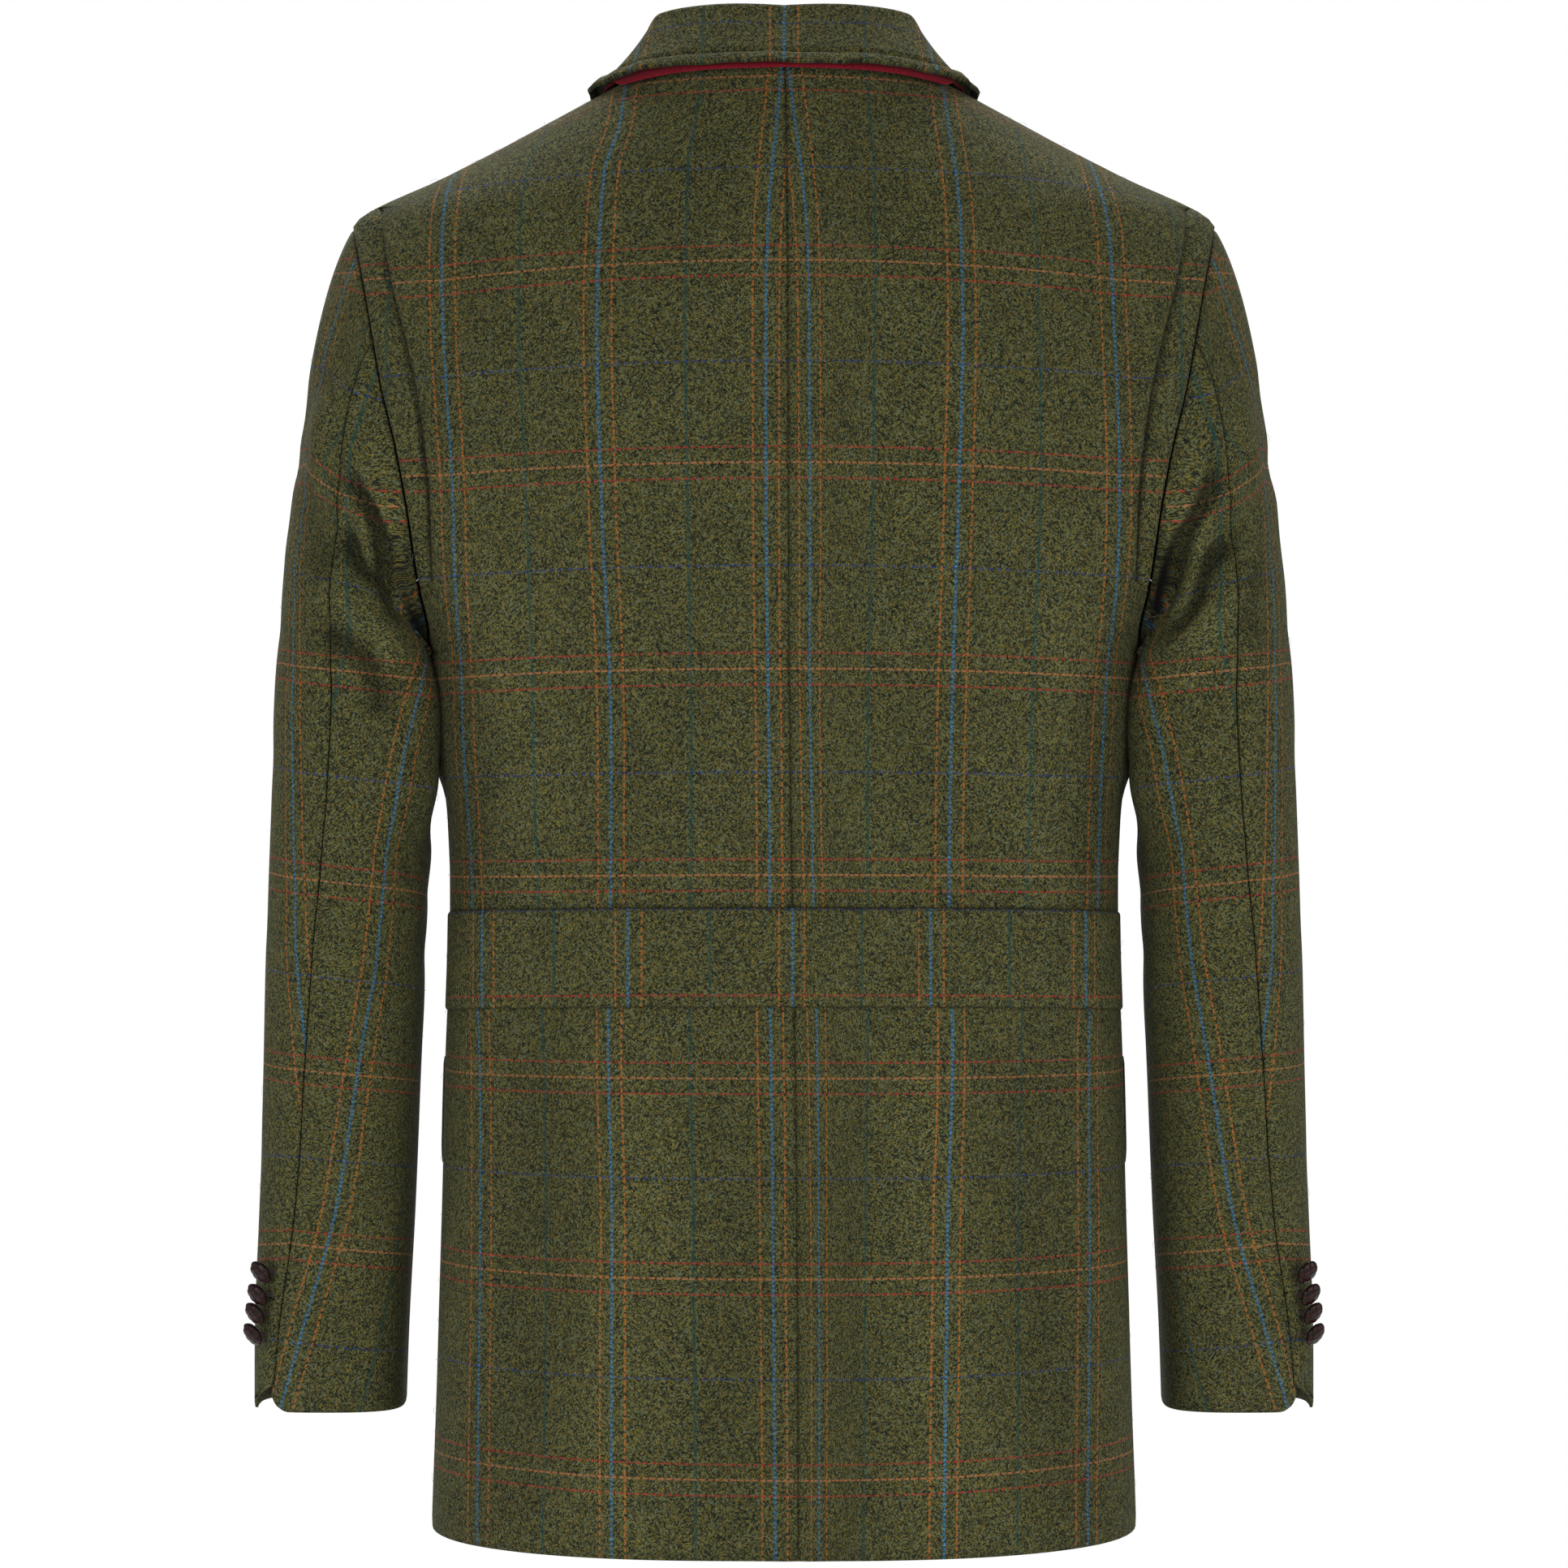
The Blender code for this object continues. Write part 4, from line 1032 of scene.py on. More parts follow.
def make_belt(panel, normals):
    """The belt lies on the back's own points, moved out, from side seam to side seam."""
    height = np.linspace(-1, 1, len(panel))[:, None]
    puff = BELT_PUFF * (1 - np.abs(height) ** BELT_PUFF_POWER)
    free = ease(0, BELT_END_LENGTH, lengths_left(panel))
    lift = (SEAM_GAP + TWEED + puff) * (BELT_END_SHARE + (1 - BELT_END_SHARE) * free)
    half = panel + normals * lift[..., None]
    outer = np.concatenate((mirrored(half)[:, ::-1], half), axis=1)
    middle = panel.shape[1]
    centre = (outer[:, middle - 1] + outer[:, middle]) / 2
    outer[:, middle - 1 : middle + 1] = centre[:, None]
    outer = np.delete(outer, middle, axis=1)
    both = np.concatenate((mirrored(normals)[:, ::-1], normals[:, 1:]), axis=1)
    lines = np.array(BELT_LINES)
    steps = (np.arange(len(lines)) - len(lines) // 2) * CHECK_WIDTH
    x = outer[..., 0]
    across = np.interp(x, lines, steps)
    length = run_lengths(outer, axis=1)
    for end, sign in ((lines[0], -1), (lines[-1], 1)):
        start = np.array([np.interp(end, xs, runs) for xs, runs in zip(x, length)])[:, None]
        across = across + sign * np.maximum(sign * (length - start), 0)
    up = rise_lengths(outer) + BELT_EDGES[0] - BELT_LINE_Z
    cloth = np.stack((across, up), axis=-1)
    shade = np.zeros(x.shape)
    shade[[0, -1]] = BELT_RIM_SHADE
    cloth_piece("half_belt", outer, both, cloth, shade=shade)


def make_underlays():
    turns, rows = underlay_grid()
    base, out = skin(turns, rows, no_rise)
    run = run_lengths(base, axis=1)
    from_fold = run - run[:, len(TUCK_SHARES) - 1 : len(TUCK_SHARES)]
    from_edge = lengths_left(base)
    top = ease(*PLEAT_FLAT_ROWS, rows)
    sunk = UNDERLAY_TOP_SINK * top * ease(*UNDERLAY_TOP_SINK_SPREAD, from_fold)
    sunk = sunk - UNDERLAY_TOP_RISE * top * ease(*UNDERLAY_TOP_RISE_SPREAD, from_fold)
    sunk = sunk + ridge(UNDERLAY_FOLD_SINK, np.maximum(from_fold, 0)) * (1 - top)
    sunk = sunk + UNDERLAY_LOW_SINK * (rows < PLEAT_END_ROW)
    relief = ripple(base, "underlay") - sunk
    relief = relief * ease(0, UNDERLAY_CALM, from_edge) + ridge(UNDERLAY_EDGE_DIP, from_edge)
    outer, normals = displaced(base, out, relief)
    up = lines_up(base[..., 2], BACK_LINE_ZS) + STRIP_DROP
    across = base[..., 0] - STRIP_LINE_X + CHECK_WIDTH / 2
    cloths = [np.stack((sign * across, up), axis=-1) for sign in (1, -1)]
    past_fold = np.maximum(from_fold - UNDERLAY_SHADE_START, 0)
    shade = ridge(UNDERLAY_SHADE, past_fold) * (1 - top)
    both_sides("pleat_underlay", outer, normals, cloths, shade)
    edge = [UNDERLAY_FINE.index(row) for row in PLEAT_FINE]
    return base[edge, -1], out[edge, -1]


def front_cloth(points, rows):
    """Cloth coordinates of a front: its check hangs straight and goes on from the back's."""
    ring = body(np.linspace(180, 90, RING_SAMPLES), FRONT_RING_ROW)
    length = run_lengths(ring, axis=0)
    width = ring[-1, 0]
    x, y, z = np.moveaxis(points, -1, 0)
    x = x * np.where(rows < UNDERARM_ROW, width / BODY["half_width"](rows), 1.0)
    across = np.interp(x, ring[:, 0], length) + np.minimum(x, 0) + np.maximum(x - width, 0)
    lean = FRONT_LEAN * np.maximum(y - FRONT_LEAN_Y, 0) * ease(*FRONT_LEAN_ROWS, z)
    up = lines_up(z, BACK_LINE_ZS) + looked_up(z, BACK_DROOP) + lean
    return np.stack((across - FRONT_LINE, up), axis=-1)


def make_fronts():
    turns, rows = grid_of(front_spans(), FRONT_SHARES)
    for side, rise, flip in (("left", closure_rise, 1), ("right", no_rise, -1)):
        base, out = skin(turns, rows, rise)
        relief = fold_relief(base, FRONT_FOLDS) + ripple(base, "front")
        relief = relief * ease(*FRONT_CALM, lengths_left(base))
        lower = (np.array(FRONT_FINE) <= UNDERARM_ROW)[:, None]
        relief = relief + seam_dip(base, ("first",)) * lower
        outer, normals = displaced(base, out, relief)
        cloth = front_cloth(base, rows)
        if flip < 0:
            outer, normals, cloth = other_side(outer, normals, cloth)
        cloth_piece(f"front_{side}", outer, normals, cloth)
    edge_rows = ARMPIT_FINE[1:] + PLEAT_FINE[:-1]
    edge = [FRONT_FINE.index(row) for row in edge_rows][::-1]
    return base[edge, 0], out[edge, 0]


def lapel_stops(roll_z, covered):
    """The x and z where a lapel starts, bends and ends; a covered one starts clear."""
    row = {name: float(curve(roll_z)) for name, curve in LAPEL.items()}
    start = roll_x(roll_z) + SEAM_GAP
    if covered:
        start = max(start, LAPEL_COVER_GAP - roll_x(roll_z))
    bend = max(row["notch_x"], (start + row["edge_x"]) / 2)
    return (start, bend, row["edge_x"]), (roll_z, row["notch_z"], row["edge_z"])


def make_lapel(node, lowest_z, rise, side):
    """A lapel rolls over the front's edge and lies on its points, moved out."""
    outer, normals = [], []
    columns = np.arange(LAPEL_COLUMNS)
    stops = (0, LAPEL_COLUMNS // 2, LAPEL_COLUMNS - 1)
    for roll_z in np.linspace(lowest_z, LAPEL_ROWS[-1].roll_z, LAPEL_SECTIONS):
        stop_xs, stop_zs = lapel_stops(roll_z, side < 0)
        xs = np.interp(columns, stops, stop_xs)
        zs = np.interp(columns, stops, stop_zs)
        places = [front_place(x, z) for x, z in zip(xs, zs)]
        turns, levels = np.array(places).T
        rolled = LAPEL_ROLL_RISE * ease(stop_xs[1], roll_x(roll_z), xs)
        points, out = skin(turns, levels, rise, LAPEL_RISE)
        outer.append(points + out * rolled[:, None])
        normals.append(out)
    base, out = np.array(outer), np.array(normals)
    from_edge = lengths_left(base)
    relief = ripple(base, "lapel") + ridge(LAPEL_STITCHES, from_edge)
    outer, normals = displaced(base, out, relief)
    cloth = np.stack((LAPEL_LINE - from_edge, run_lengths(base, axis=0) + lowest_z), axis=-1)
    if side < 0:
        outer, normals, cloth = other_side(outer, normals, cloth)
    cloth_piece(node, outer, normals, cloth)


def collar_section(turn):
    """One section of the collar, from the neck seam over the fold to the fall's edge."""
    top = BODY_RINGS[-1].back_z
    seam = body(turn, top) + UP * COLLAR_SEAM_RISE
    outward = unit(body_normal(turn, top) * np.array((1.0, 1.0, 0.0)))
    fold = body(turn, top) + UP * COLLAR["fold_rise"](turn)
    fold = fold + outward * COLLAR["fold_out"](turn)
    edge_turn, edge_row = COLLAR["edge_turn"](turn), COLLAR["edge_row"](turn)
    edge_lift = COLLAR["edge_lift"](turn)
    edge = body(edge_turn, edge_row) + body_normal(edge_turn, edge_row) * edge_lift
    seam = seam - outward * STAND_INSET
    stand_mid = (seam + fold) / 2 - outward * STAND_LEAN
    fall = edge - fold
    sag = unit(np.cross(np.cross(outward, UP), fall))
    if sag[2] > 0:
        sag = -sag
    crown = fold - (outward + UP) * FOLD_RADIUS * CROWN_INSET
    points = [seam, stand_mid, crown, fold]
    for share in FALL_SHARES:
        bend = math.sin(math.pi * share) * FALL_SAG
        points.append(fold + fall * share + sag * bend)
    return np.array(points)


def smooth_section(points, count):
    """Points evenly spaced along a soft curve through a section's points."""
    run = run_lengths(points, axis=0)
    fine = np.linspace(0, run[-1], count)
    slopes = np.gradient(points, run, axis=0)
    i = np.clip(np.searchsorted(run, fine) - 1, 0, len(run) - 2)
    step = (run[i + 1] - run[i])[:, None]
    t = (fine - run[i])[:, None] / step
    return between(t, points[i], points[i + 1], slopes[i], slopes[i + 1], step)


def make_collar():
    half = np.linspace(0, COLLAR_ROWS[-1].turn, COLLAR_STEPS)
    turns = np.concatenate((-half[:0:-1], half))
    sections = []
    for turn in turns:
        section = smooth_section(collar_section(abs(turn)), COLLAR_POINTS)
        sections.append(mirrored(section) if turn < 0 else section)
    base = np.array(sections)
    centre = len(turns) // 2
    like = np.zeros_like(base)
    like[centre, -4:] = COLLAR_FACING
    out = grid_normals(base, like)
    run, from_edge = run_lengths(base, axis=1), lengths_left(base)
    uneven = 1 + sum(size * np.sin(turns / length) for size, length in COLLAR_BAND_WAVES)
    band = COLLAR_BAND_RISE * ease(COLLAR_BAND, COLLAR_BAND - COLLAR_BAND_SLOPE, from_edge)
    relief = band * uneven[:, None] + ridge(COLLAR_GROOVE, from_edge) + ripple(base, "collar")
    outer, normals = displaced(base, out, relief)
    fold = np.argmax(base[..., 2], axis=1)
    below = run - np.take_along_axis(run, fold[:, None], axis=1)
    across = run_lengths(base, axis=0)
    across = across - across[centre]
    cloth = np.stack((across, CHECK_HEIGHT / 2 + COLLAR_LINE - below), axis=-1)
    cloth_piece("collar", outer, normals, cloth, COLLAR_WALL)
    covered = np.abs(turns) < UNDERCOLLAR_TURN
    make_undercollar(base[covered], out[covered])


def make_undercollar(fall, out):
    """Felt under the fall, standing out a little below its edge."""
    ends = np.abs(np.linspace(-1, 1, len(fall)))[:, None]
    reaches = np.linspace(UNDERCOLLAR_REACH, 0, UNDERCOLLAR_COLUMNS)
    places = reaches + looked_up(ends, UNDERCOLLAR_TUCK)
    face, normals = [], []
    for away, wanted, points, outs in zip(lengths_left(fall), places, fall, out):
        for strip, values in ((face, points), (normals, outs)):
            columns = [np.interp(wanted, away[::-1], column) for column in values[::-1].T]
            strip.append(np.stack(columns, axis=-1))
    normals = unit(np.array(normals))
    face = np.array(face) - normals * (COLLAR_WALL + SEAM_GAP)
    reach = looked_up(ends, UNDERCOLLAR_SHOW) * np.linspace(0, 1, UNDERCOLLAR_COLUMNS) ** 2
    face = face + unit(face[:, -1:] - face[:, -3:-2]) * reach[..., None]
    cloth = np.stack((run_lengths(face, axis=0), run_lengths(face, axis=1)), axis=-1)
    cloth_piece("undercollar", face, normals, cloth, FELT, felt=True)


def sleeve_ring(z, angles):
    """Points of a sleeve ring; 0 degrees faces the body, 90 the back, 180 outwards."""
    inner, outer = SLEEVE["inner_x"](z), SLEEVE["outer_x"](z)
    front, back = SLEEVE["front_y"](z), SLEEVE["back_y"](z)
    power = 2 / SLEEVE["squareness"](z)
    along = signed_power(np.cos(np.radians(angles)), power)
    across = signed_power(np.sin(np.radians(angles)), power)
    lean = SLEEVE_LEAN * ease(*SLEEVE_LEAN_ROWS, z) * np.clip(along, 0, 1)
    x = (inner + outer) / 2 - (outer - inner) / 2 * along - lean * across
    y = (front + back) / 2 + (back - front) / 2 * across
    return np.stack((x, y, np.full_like(x, z)), axis=-1)


def hind_angle(z):
    """The angle of the hind-arm seam on a sleeve ring, from where it is seen at the back."""
    angles = np.linspace(*HIND_ANGLES, 200)
    return float(np.interp(SLEEVE["hind_x"](z), sleeve_ring(z, angles)[:, 0], angles))


def ring_angles(start_angles, hind, fore, hind_now):
    """Spread the armhole's columns between the two seams as they lie on this ring."""
    base, end = start_angles[hind], start_angles[fore]
    upper = hind_now + (start_angles - base) * (FORE_ANGLE - hind_now) / (end - base)
    under_span = 360 - FORE_ANGLE + hind_now
    wrapped = np.where(start_angles >= end, start_angles - 360, start_angles)
    under = hind_now + (wrapped - base) * under_span / (360 - end + base)
    inside = (start_angles >= base) & (start_angles <= end)
    return np.where(inside, upper, under)


def sleeve_grid(ring_points, start_angles, hind, fore):
    """Sleeve sections from the armhole's own points down to the cuff."""
    rows = refined(SLEEVE_KEY_ROWS, SLEEVE_STEP)
    angles = ring_angles(start_angles, hind, fore, hind_angle(rows[0]))
    biceps = sleeve_ring(rows[0], angles)
    below = sleeve_ring(SLEEVE_KEY_ROWS[1], angles)
    near_armpit = (0.5 + 0.5 * np.cos(np.radians(start_angles)))[:, None] ** 2
    leave = unit(
        near_armpit * np.array(CAP_LEAVE_ARMPIT)
        + (1 - near_armpit) * np.array(CAP_LEAVE_TIP)
    )
    arrive = unit(below - biceps)
    reach = CAP_STRENGTH * np.linalg.norm(biceps - ring_points, axis=1)[:, None]
    sections = []
    for t in np.linspace(0, 1, CAP_STEPS):
        clear = CAP_CLEAR * near_armpit * 4 * t * (1 - t) * np.array((1.0, 0.0, 0.0))
        sections.append(between(t, ring_points, biceps, leave, arrive, reach) + clear)
    for z in rows[1:]:
        angles = ring_angles(start_angles, hind, fore, hind_angle(z))
        sections.append(sleeve_ring(z, angles))
    return np.array(sections)


def denser(ring, times):
    """A closed ring of points with more of them on its straight steps."""
    ahead = np.roll(ring, -1, axis=0)
    shares = np.arange(times)[None, :, None] / times
    return (ring[:, None] * (1 - shares) + ahead[:, None] * shares).reshape(-1, 3)


def crease_relief(points, centre, creases):
    """Soft creases that run slanting round the arm."""
    offset = points - centre
    angles = np.degrees(np.arctan2(offset[..., 1], -offset[..., 0])) % 360
    radius = np.linalg.norm(offset[..., :2], axis=-1)
    relief = np.zeros(points.shape[:-1])
    for crease in creases:
        around = np.radians((angles - crease.angle + 180) % 360 - 180) * radius
        across = points[..., 2] - crease.z - crease.fall * around
        across = across + CREASE_WANDER * np.sin(around / CREASE_WAVE + crease.z)
        relief -= crease.depth * bell(around, crease.half_length) * bell(across, crease.half_width)
    return relief


def vent_cut(grid, hind):
    """The cuff edge rises to the vent in a slanting cut on both sides of the hind seam."""
    last = grid[-1].copy()
    columns = len(last)
    lift = np.zeros(columns)
    for step in range(1, columns // 2):
        for side, reach in ((1, VENT_UPPER_REACH), (-1, VENT_UNDER_REACH)):
            column = (hind + side * step) % columns
            away = np.linalg.norm(grid[-1, column] - grid[-1, hind])
            if away < reach:
                near = 1 - away / reach
                lift[column] = VENT_NOTCH * (near if side > 0 else 1 - math.sqrt(1 - near**2))
    lift[hind] = VENT_NOTCH
    for back_by in range(VENT_TAIL):
        room = np.maximum(0, lift + (last[:, 2] - grid[-1 - back_by, :, 2]))
        grid[-1 - back_by, :, 2] += room * VENT_FADE**back_by
    return grid


def turn_round_arm(points):
    """Degrees round the middle of the upper arm: 0 faces the body, 90 the back."""
    ring = SLEEVE_RINGS[0]
    x = points[..., 0] - (ring.inner_x + ring.outer_x) / 2
    y = points[..., 1] - (ring.front_y + ring.back_y) / 2
    return np.degrees(np.arctan2(y, -x))


def level_lengths(points):
    """Lengths round the upper arm from the hind-arm seam, each at its point's own height."""
    ring = sleeve_ring(SLEEVE_RINGS[0].z, np.linspace(-179, 179, 359))
    length = run_lengths(ring, axis=0)
    turns = turn_round_arm(ring)
    order = np.argsort(turns)
    seam = points[:, 0][np.argsort(points[:, 0, 2])]
    start = np.interp(points[..., 2], seam[:, 2], turn_round_arm(seam))
    far = np.interp(turn_round_arm(points), turns[order], length[order])
    return np.interp(start, turns[order], length[order]) - far


def sleeve_cloth(points, upper):
    """Cloth coordinates of a sleeve piece, its blue line placed from the hind-arm seam."""
    if not upper:
        points = points[:, ::-1]
    run = run_lengths(points, axis=1)
    if not upper:
        run[:CAP_STEPS] = level_lengths(points)[:CAP_STEPS]
    z = points[..., 2]
    line = LINES["upper" if upper else "under"](z[:, :1])
    slope = looked_up(z[:, :1], UPPER_SLOPES if upper else UNDER_SLOPES)
    fall = -np.minimum(run, UPPER_SLOPE_END) if upper else np.minimum(run, UNDER_SLOPE_END)
    cloth = np.stack((run - line, lines_up(z, SLEEVE_LINE_ZS) + slope * fall), axis=-1)
    return cloth if upper else flipped(cloth[:, ::-1])


def make_sleeves(edge, edge_normals):
    """Two-piece sleeves that start from the armhole edge, just inside its hole."""
    ahead = np.roll(edge, -1, axis=0) - np.roll(edge, 1, axis=0)
    into_hole = unit(np.cross(edge_normals, ahead))
    centre = edge.mean(axis=0)
    if np.sum(into_hole * (centre - edge)) < 0:
        into_hole = -into_hole
    start = denser(edge + into_hole * SLEEVE_SET_IN, SLEEVE_TIMES)
    gaps = np.linalg.norm(np.roll(start, -1, axis=0) - start, axis=1)
    tip = (len(ARMPIT_FINE) + len(PLEAT_FINE) - 1) * SLEEVE_TIMES
    travelled = np.concatenate(((0,), np.cumsum(gaps[:-1])))
    half = travelled[tip]
    whole = travelled[-1] + gaps[-1]
    rising = 180 * travelled / half
    falling = 180 + 180 * (travelled - half) / (whole - half)
    start_angles = np.where(travelled <= half, rising, falling)
    hind = (len(ARMPIT_FINE) + PLEAT_FINE.index(float(HIND_ARMHOLE_ROW))) * SLEEVE_TIMES
    fore = tip + PLEAT_FINE[::-1].index(float(FORE_ARMHOLE_ROW)) * SLEEVE_TIMES
    grid = sleeve_grid(start, start_angles, hind, fore)
    axis = grid.mean(axis=1, keepdims=True)
    ring = np.concatenate((grid[:, -1:], grid, grid[:, :1]), axis=1)
    out = grid_normals(ring, ring - axis)[:, 1:-1]
    columns = len(start_angles)
    picked = {
        "upper_sleeve": list(range(hind, fore + 1)),
        "under_sleeve": [c % columns for c in range(fore, columns + hind + 1)],
    }
    behind = ease(0, BEHIND_ARM, grid[..., 1] - axis[..., 1])
    facing_back = np.clip(out[..., 1], 0, 1)
    from_armhole = run_lengths(grid, axis=0)
    under_arm = ridge(ARMPIT_SHADE, from_armhole) * ease(*ARMPIT_SHADE_ROWS, grid[:1, :, 2])
    creases = crease_relief(grid, axis, SLEEVE_CREASES) + ripple(grid, "sleeve")
    for side, folds in SLEEVE_FOLDS.items():
        hand_folds = fold_relief(grid, folds) * behind
        shade = fold_shade(hand_folds, SLEEVE_FOLD_DEPTH) * facing_back**2 + under_arm
        relief = (creases + hand_folds) * ease(0, ARMHOLE_CALM, from_armhole)
        creased = vent_cut(grid + out * relief[..., None], hind)
        for piece, keep in picked.items():
            base, like = creased[:, keep].copy(), out[:, keep]
            base[:, 0] += unit(base[:, 1] - base[:, 0]) * SEAM_GAP / 2
            base[:, -1] += unit(base[:, -2] - base[:, -1]) * SEAM_GAP / 2
            outer, normals = displaced(base, like, seam_dip(base, ("first", "last")))
            cloth = sleeve_cloth(grid[:, keep], piece == "upper_sleeve")
            if side == "right":
                outer, normals, cloth = other_side(outer, normals, cloth)
            node, dark = f"{piece}_{side}", shade[:, keep]
            cloth_piece(node, outer, normals, cloth, shade=dark)


def make_flaps():
    spans = []
    for row in refined(FLAP_ROWS, FLAP_STEP):
        cut = corner_cut(row, FLAP_ROWS[0] + FLAP_CORNER, FLAP_CORNER)
        start = moved_turn(FLAP_REAR_TURN, row, cut)
        spans.append((row, start, moved_turn(FLAP_FRONT_TURN, row, -cut)))
    turns, rows = grid_of(spans, FLAP_SHARES)
    base, out = skin(turns, rows, no_rise, FLAP_LIFT)
    run = run_lengths(base, axis=1)
    outer, normals = displaced(base, out, ripple(base, "flap") + ridge(FLAP_REAR_DIP, run))
    cloth = np.stack((run, rise_lengths(base)), axis=-1) + np.array(FLAP_CLOTH_START)
    cloths = cloth, flipped(cloth)
    both_sides("hip_flap", outer, normals, cloths)


def woven_height(x, y):
    """Leather straps woven over and under each other, seen on the button's face."""
    bow = 1 + STRAP_BOW * (x * x + y * y)
    x, y = x * bow * STRAPS_PER_RADIUS + 0.5, y * bow * STRAPS_PER_RADIUS + 0.5
    column, row = np.floor(x), np.floor(y)
    fx, fy = 2 * (x - column) - 1, 2 * (y - row) - 1
    upright = (column + row) % 2 == 0
    across, along = np.where(upright, fx, fy), np.where(upright, fy, fx)
    return np.sqrt(np.clip(1 - across**2, 0, 1)) * (1 - STRAP_END_DROP * np.abs(along) ** 3)


def ring_faces(rings, sides):
    """Four-cornered faces between closed rings of points."""
    faces = []
    for low in range(0, (rings - 1) * sides, sides):
        high = low + sides
        for s in range(sides):
            t = (s + 1) % sides
            faces.append((low + s, high + s, high + t, low + t))
    return faces


def make_button(node, centre, axis, radius, half_thick):
    """A domed button of woven leather."""
    segments = BUTTON_SEGMENTS
    angles = np.linspace(0, 2 * math.pi, segments, endpoint=False)
    lean = np.linspace(0, math.pi, BUTTON_RINGS)[1:-1]
    share = np.sin(lean)[:, None]
    x, y = share * np.cos(angles), share * np.sin(angles)
    height = np.cos(lean)[:, None] * np.ones_like(x)
    face = ease(*BUTTON_FACE, height)
    strap = woven_height(x, y)
    out = 1 - BUTTON_GROOVE * face * (1 - strap)
    points = np.stack((x * radius, y * radius, height * half_thick), axis=-1) * out[..., None]
    groove = (face * (1 - strap)).reshape(-1)
    poles = np.array(((0, 0, half_thick), (0, 0, -half_thick)))
    points = np.concatenate((points.reshape(-1, 3), poles))
    faces = ring_faces(len(lean), segments)
    pole = len(lean) * segments
    last = pole - segments
    for s in range(segments):
        t = (s + 1) % segments
        faces.append((pole, s, t))
        faces.append((pole + 1, last + t, last + s))
    turned = np.array(Vector(axis).to_track_quat("Z", "Y").to_matrix())
    spin = np.array(Matrix.Rotation(math.radians(BUTTON_SPIN), 3, "Z"))
    placed = points @ (turned @ spin).T + centre
    piece = solid(f"{node}_leather", placed, faces, None, MATERIALS["leather"])
    layer = piece.data.attributes.new("groove", "FLOAT", "POINT")
    layer.data.foreach_set("value", np.concatenate((groove, (0.0, 0.0))))
    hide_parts(node)


def cuff_button_place(z):
    """Centre and axis of a cuff button, beside the hind-arm seam and tilted downwards."""
    angle = hind_angle(z)
    ring = sleeve_ring(z, np.array((angle, angle + 1.0)))
    angle += CUFF_BUTTON_FROM_SEAM / np.linalg.norm(ring[1] - ring[0])
    ring = sleeve_ring(z, np.array((angle - 1.0, angle, angle + 1.0)))
    along = ring[2] - ring[0]
    out = unit(np.array((-along[1], along[0], 0.0)))
    if out[0] < 0:
        out = -out
    tilt = math.radians(CUFF_BUTTON_TILT)
    axis = out * math.cos(tilt) - UP * math.sin(tilt)
    reach = BUTTON_RADIUS * math.sin(tilt) + BUTTON_HALF_THICK * math.cos(tilt)
    return ring[1] + out * (reach + BUTTON_STANDOFF), axis, ring[1], out


def tube(path, radius, sides=6):
    """Points and faces of a thin tube along a path, closed at both ends."""
    path = np.asarray(path, float)
    along = unit(np.gradient(path, axis=0))
    side = unit(np.cross(along, along + np.array(TUBE_SIDE)))
    over = np.cross(along, side)
    angles = np.linspace(0, 2 * math.pi, sides, endpoint=False)
    cos, sin = (turn(angles)[None, :, None] for turn in (np.cos, np.sin))
    ring = cos * side[:, None] + sin * over[:, None]
    points = (path[:, None] + radius * ring).reshape(-1, 3)
    faces = [(a, d, c, b) for a, b, c, d in ring_faces(len(path), sides)]
    faces.append(tuple(range(sides))[::-1])
    faces.append(tuple((len(path) - 1) * sides + s for s in range(sides)))
    return points, faces


def tubes(name, paths, radius, material, sides=6):
    """Many thin tubes as one piece."""
    points, faces, start = [], [], 0
    for path in paths:
        more, rings = tube(path, radius, sides)
        points.append(more)
        faces += [tuple(i + start for i in ring) for ring in rings]
        start += len(more)
    return solid(name, np.concatenate(points), faces, None, material)


def make_buttons():
    shanks = []
    for number, z in enumerate(CUFF_BUTTON_ZS, start=1):
        centre, axis, foot, out = cuff_button_place(z)
        inward = np.cross(out, UP)
        inward = inward * -np.sign(inward[0])
        for side, flip in (("left", 1.0), ("right", -1.0)):
            mirror = np.array((flip, 1.0, 1.0))
            size = BUTTON_RADIUS, BUTTON_HALF_THICK
            make_button(f"cuff_button_{side}_{number}", centre * mirror, axis * mirror, *size)
            back = centre - axis * (BUTTON_HALF_THICK - THREAD_HOLD)
            for shift in CUFF_THREADS:
                half_way, at_button = (UP * shift * share for share in THREAD_GATHERED)
                start = foot - out * THREAD_SINK + UP * shift + inward * SHANK_REACH
                middle = (foot + back) / 2 + half_way + axis * THREAD_BOW
                stops = np.array((start, middle, back + at_button))
                shanks.append(smooth_section(stops, THREAD_POINTS) * mirror)
    for number, row in enumerate(FRONT_BUTTON_ROWS, start=1):
        surface, out = skin(np.array(180.0), np.array(float(row)), closure_rise)
        centre = surface + out * (FRONT_BUTTON_HALF_THICK + BUTTON_STANDOFF)
        size = FRONT_BUTTON_RADIUS, FRONT_BUTTON_HALF_THICK
        make_button(f"front_button_{number}", centre, out, *size)
        for shift in FRONT_THREADS:
            side = np.array((shift, 0.0, 0.0))
            start = surface - out * FRONT_THREAD_SINK + side
            end = centre + side * FRONT_THREAD_GATHERED
            shanks.append(np.linspace(start, end, FRONT_THREAD_POINTS))
    tubes("button_threads", shanks, THREAD_RADIUS, MATERIALS["thread"])


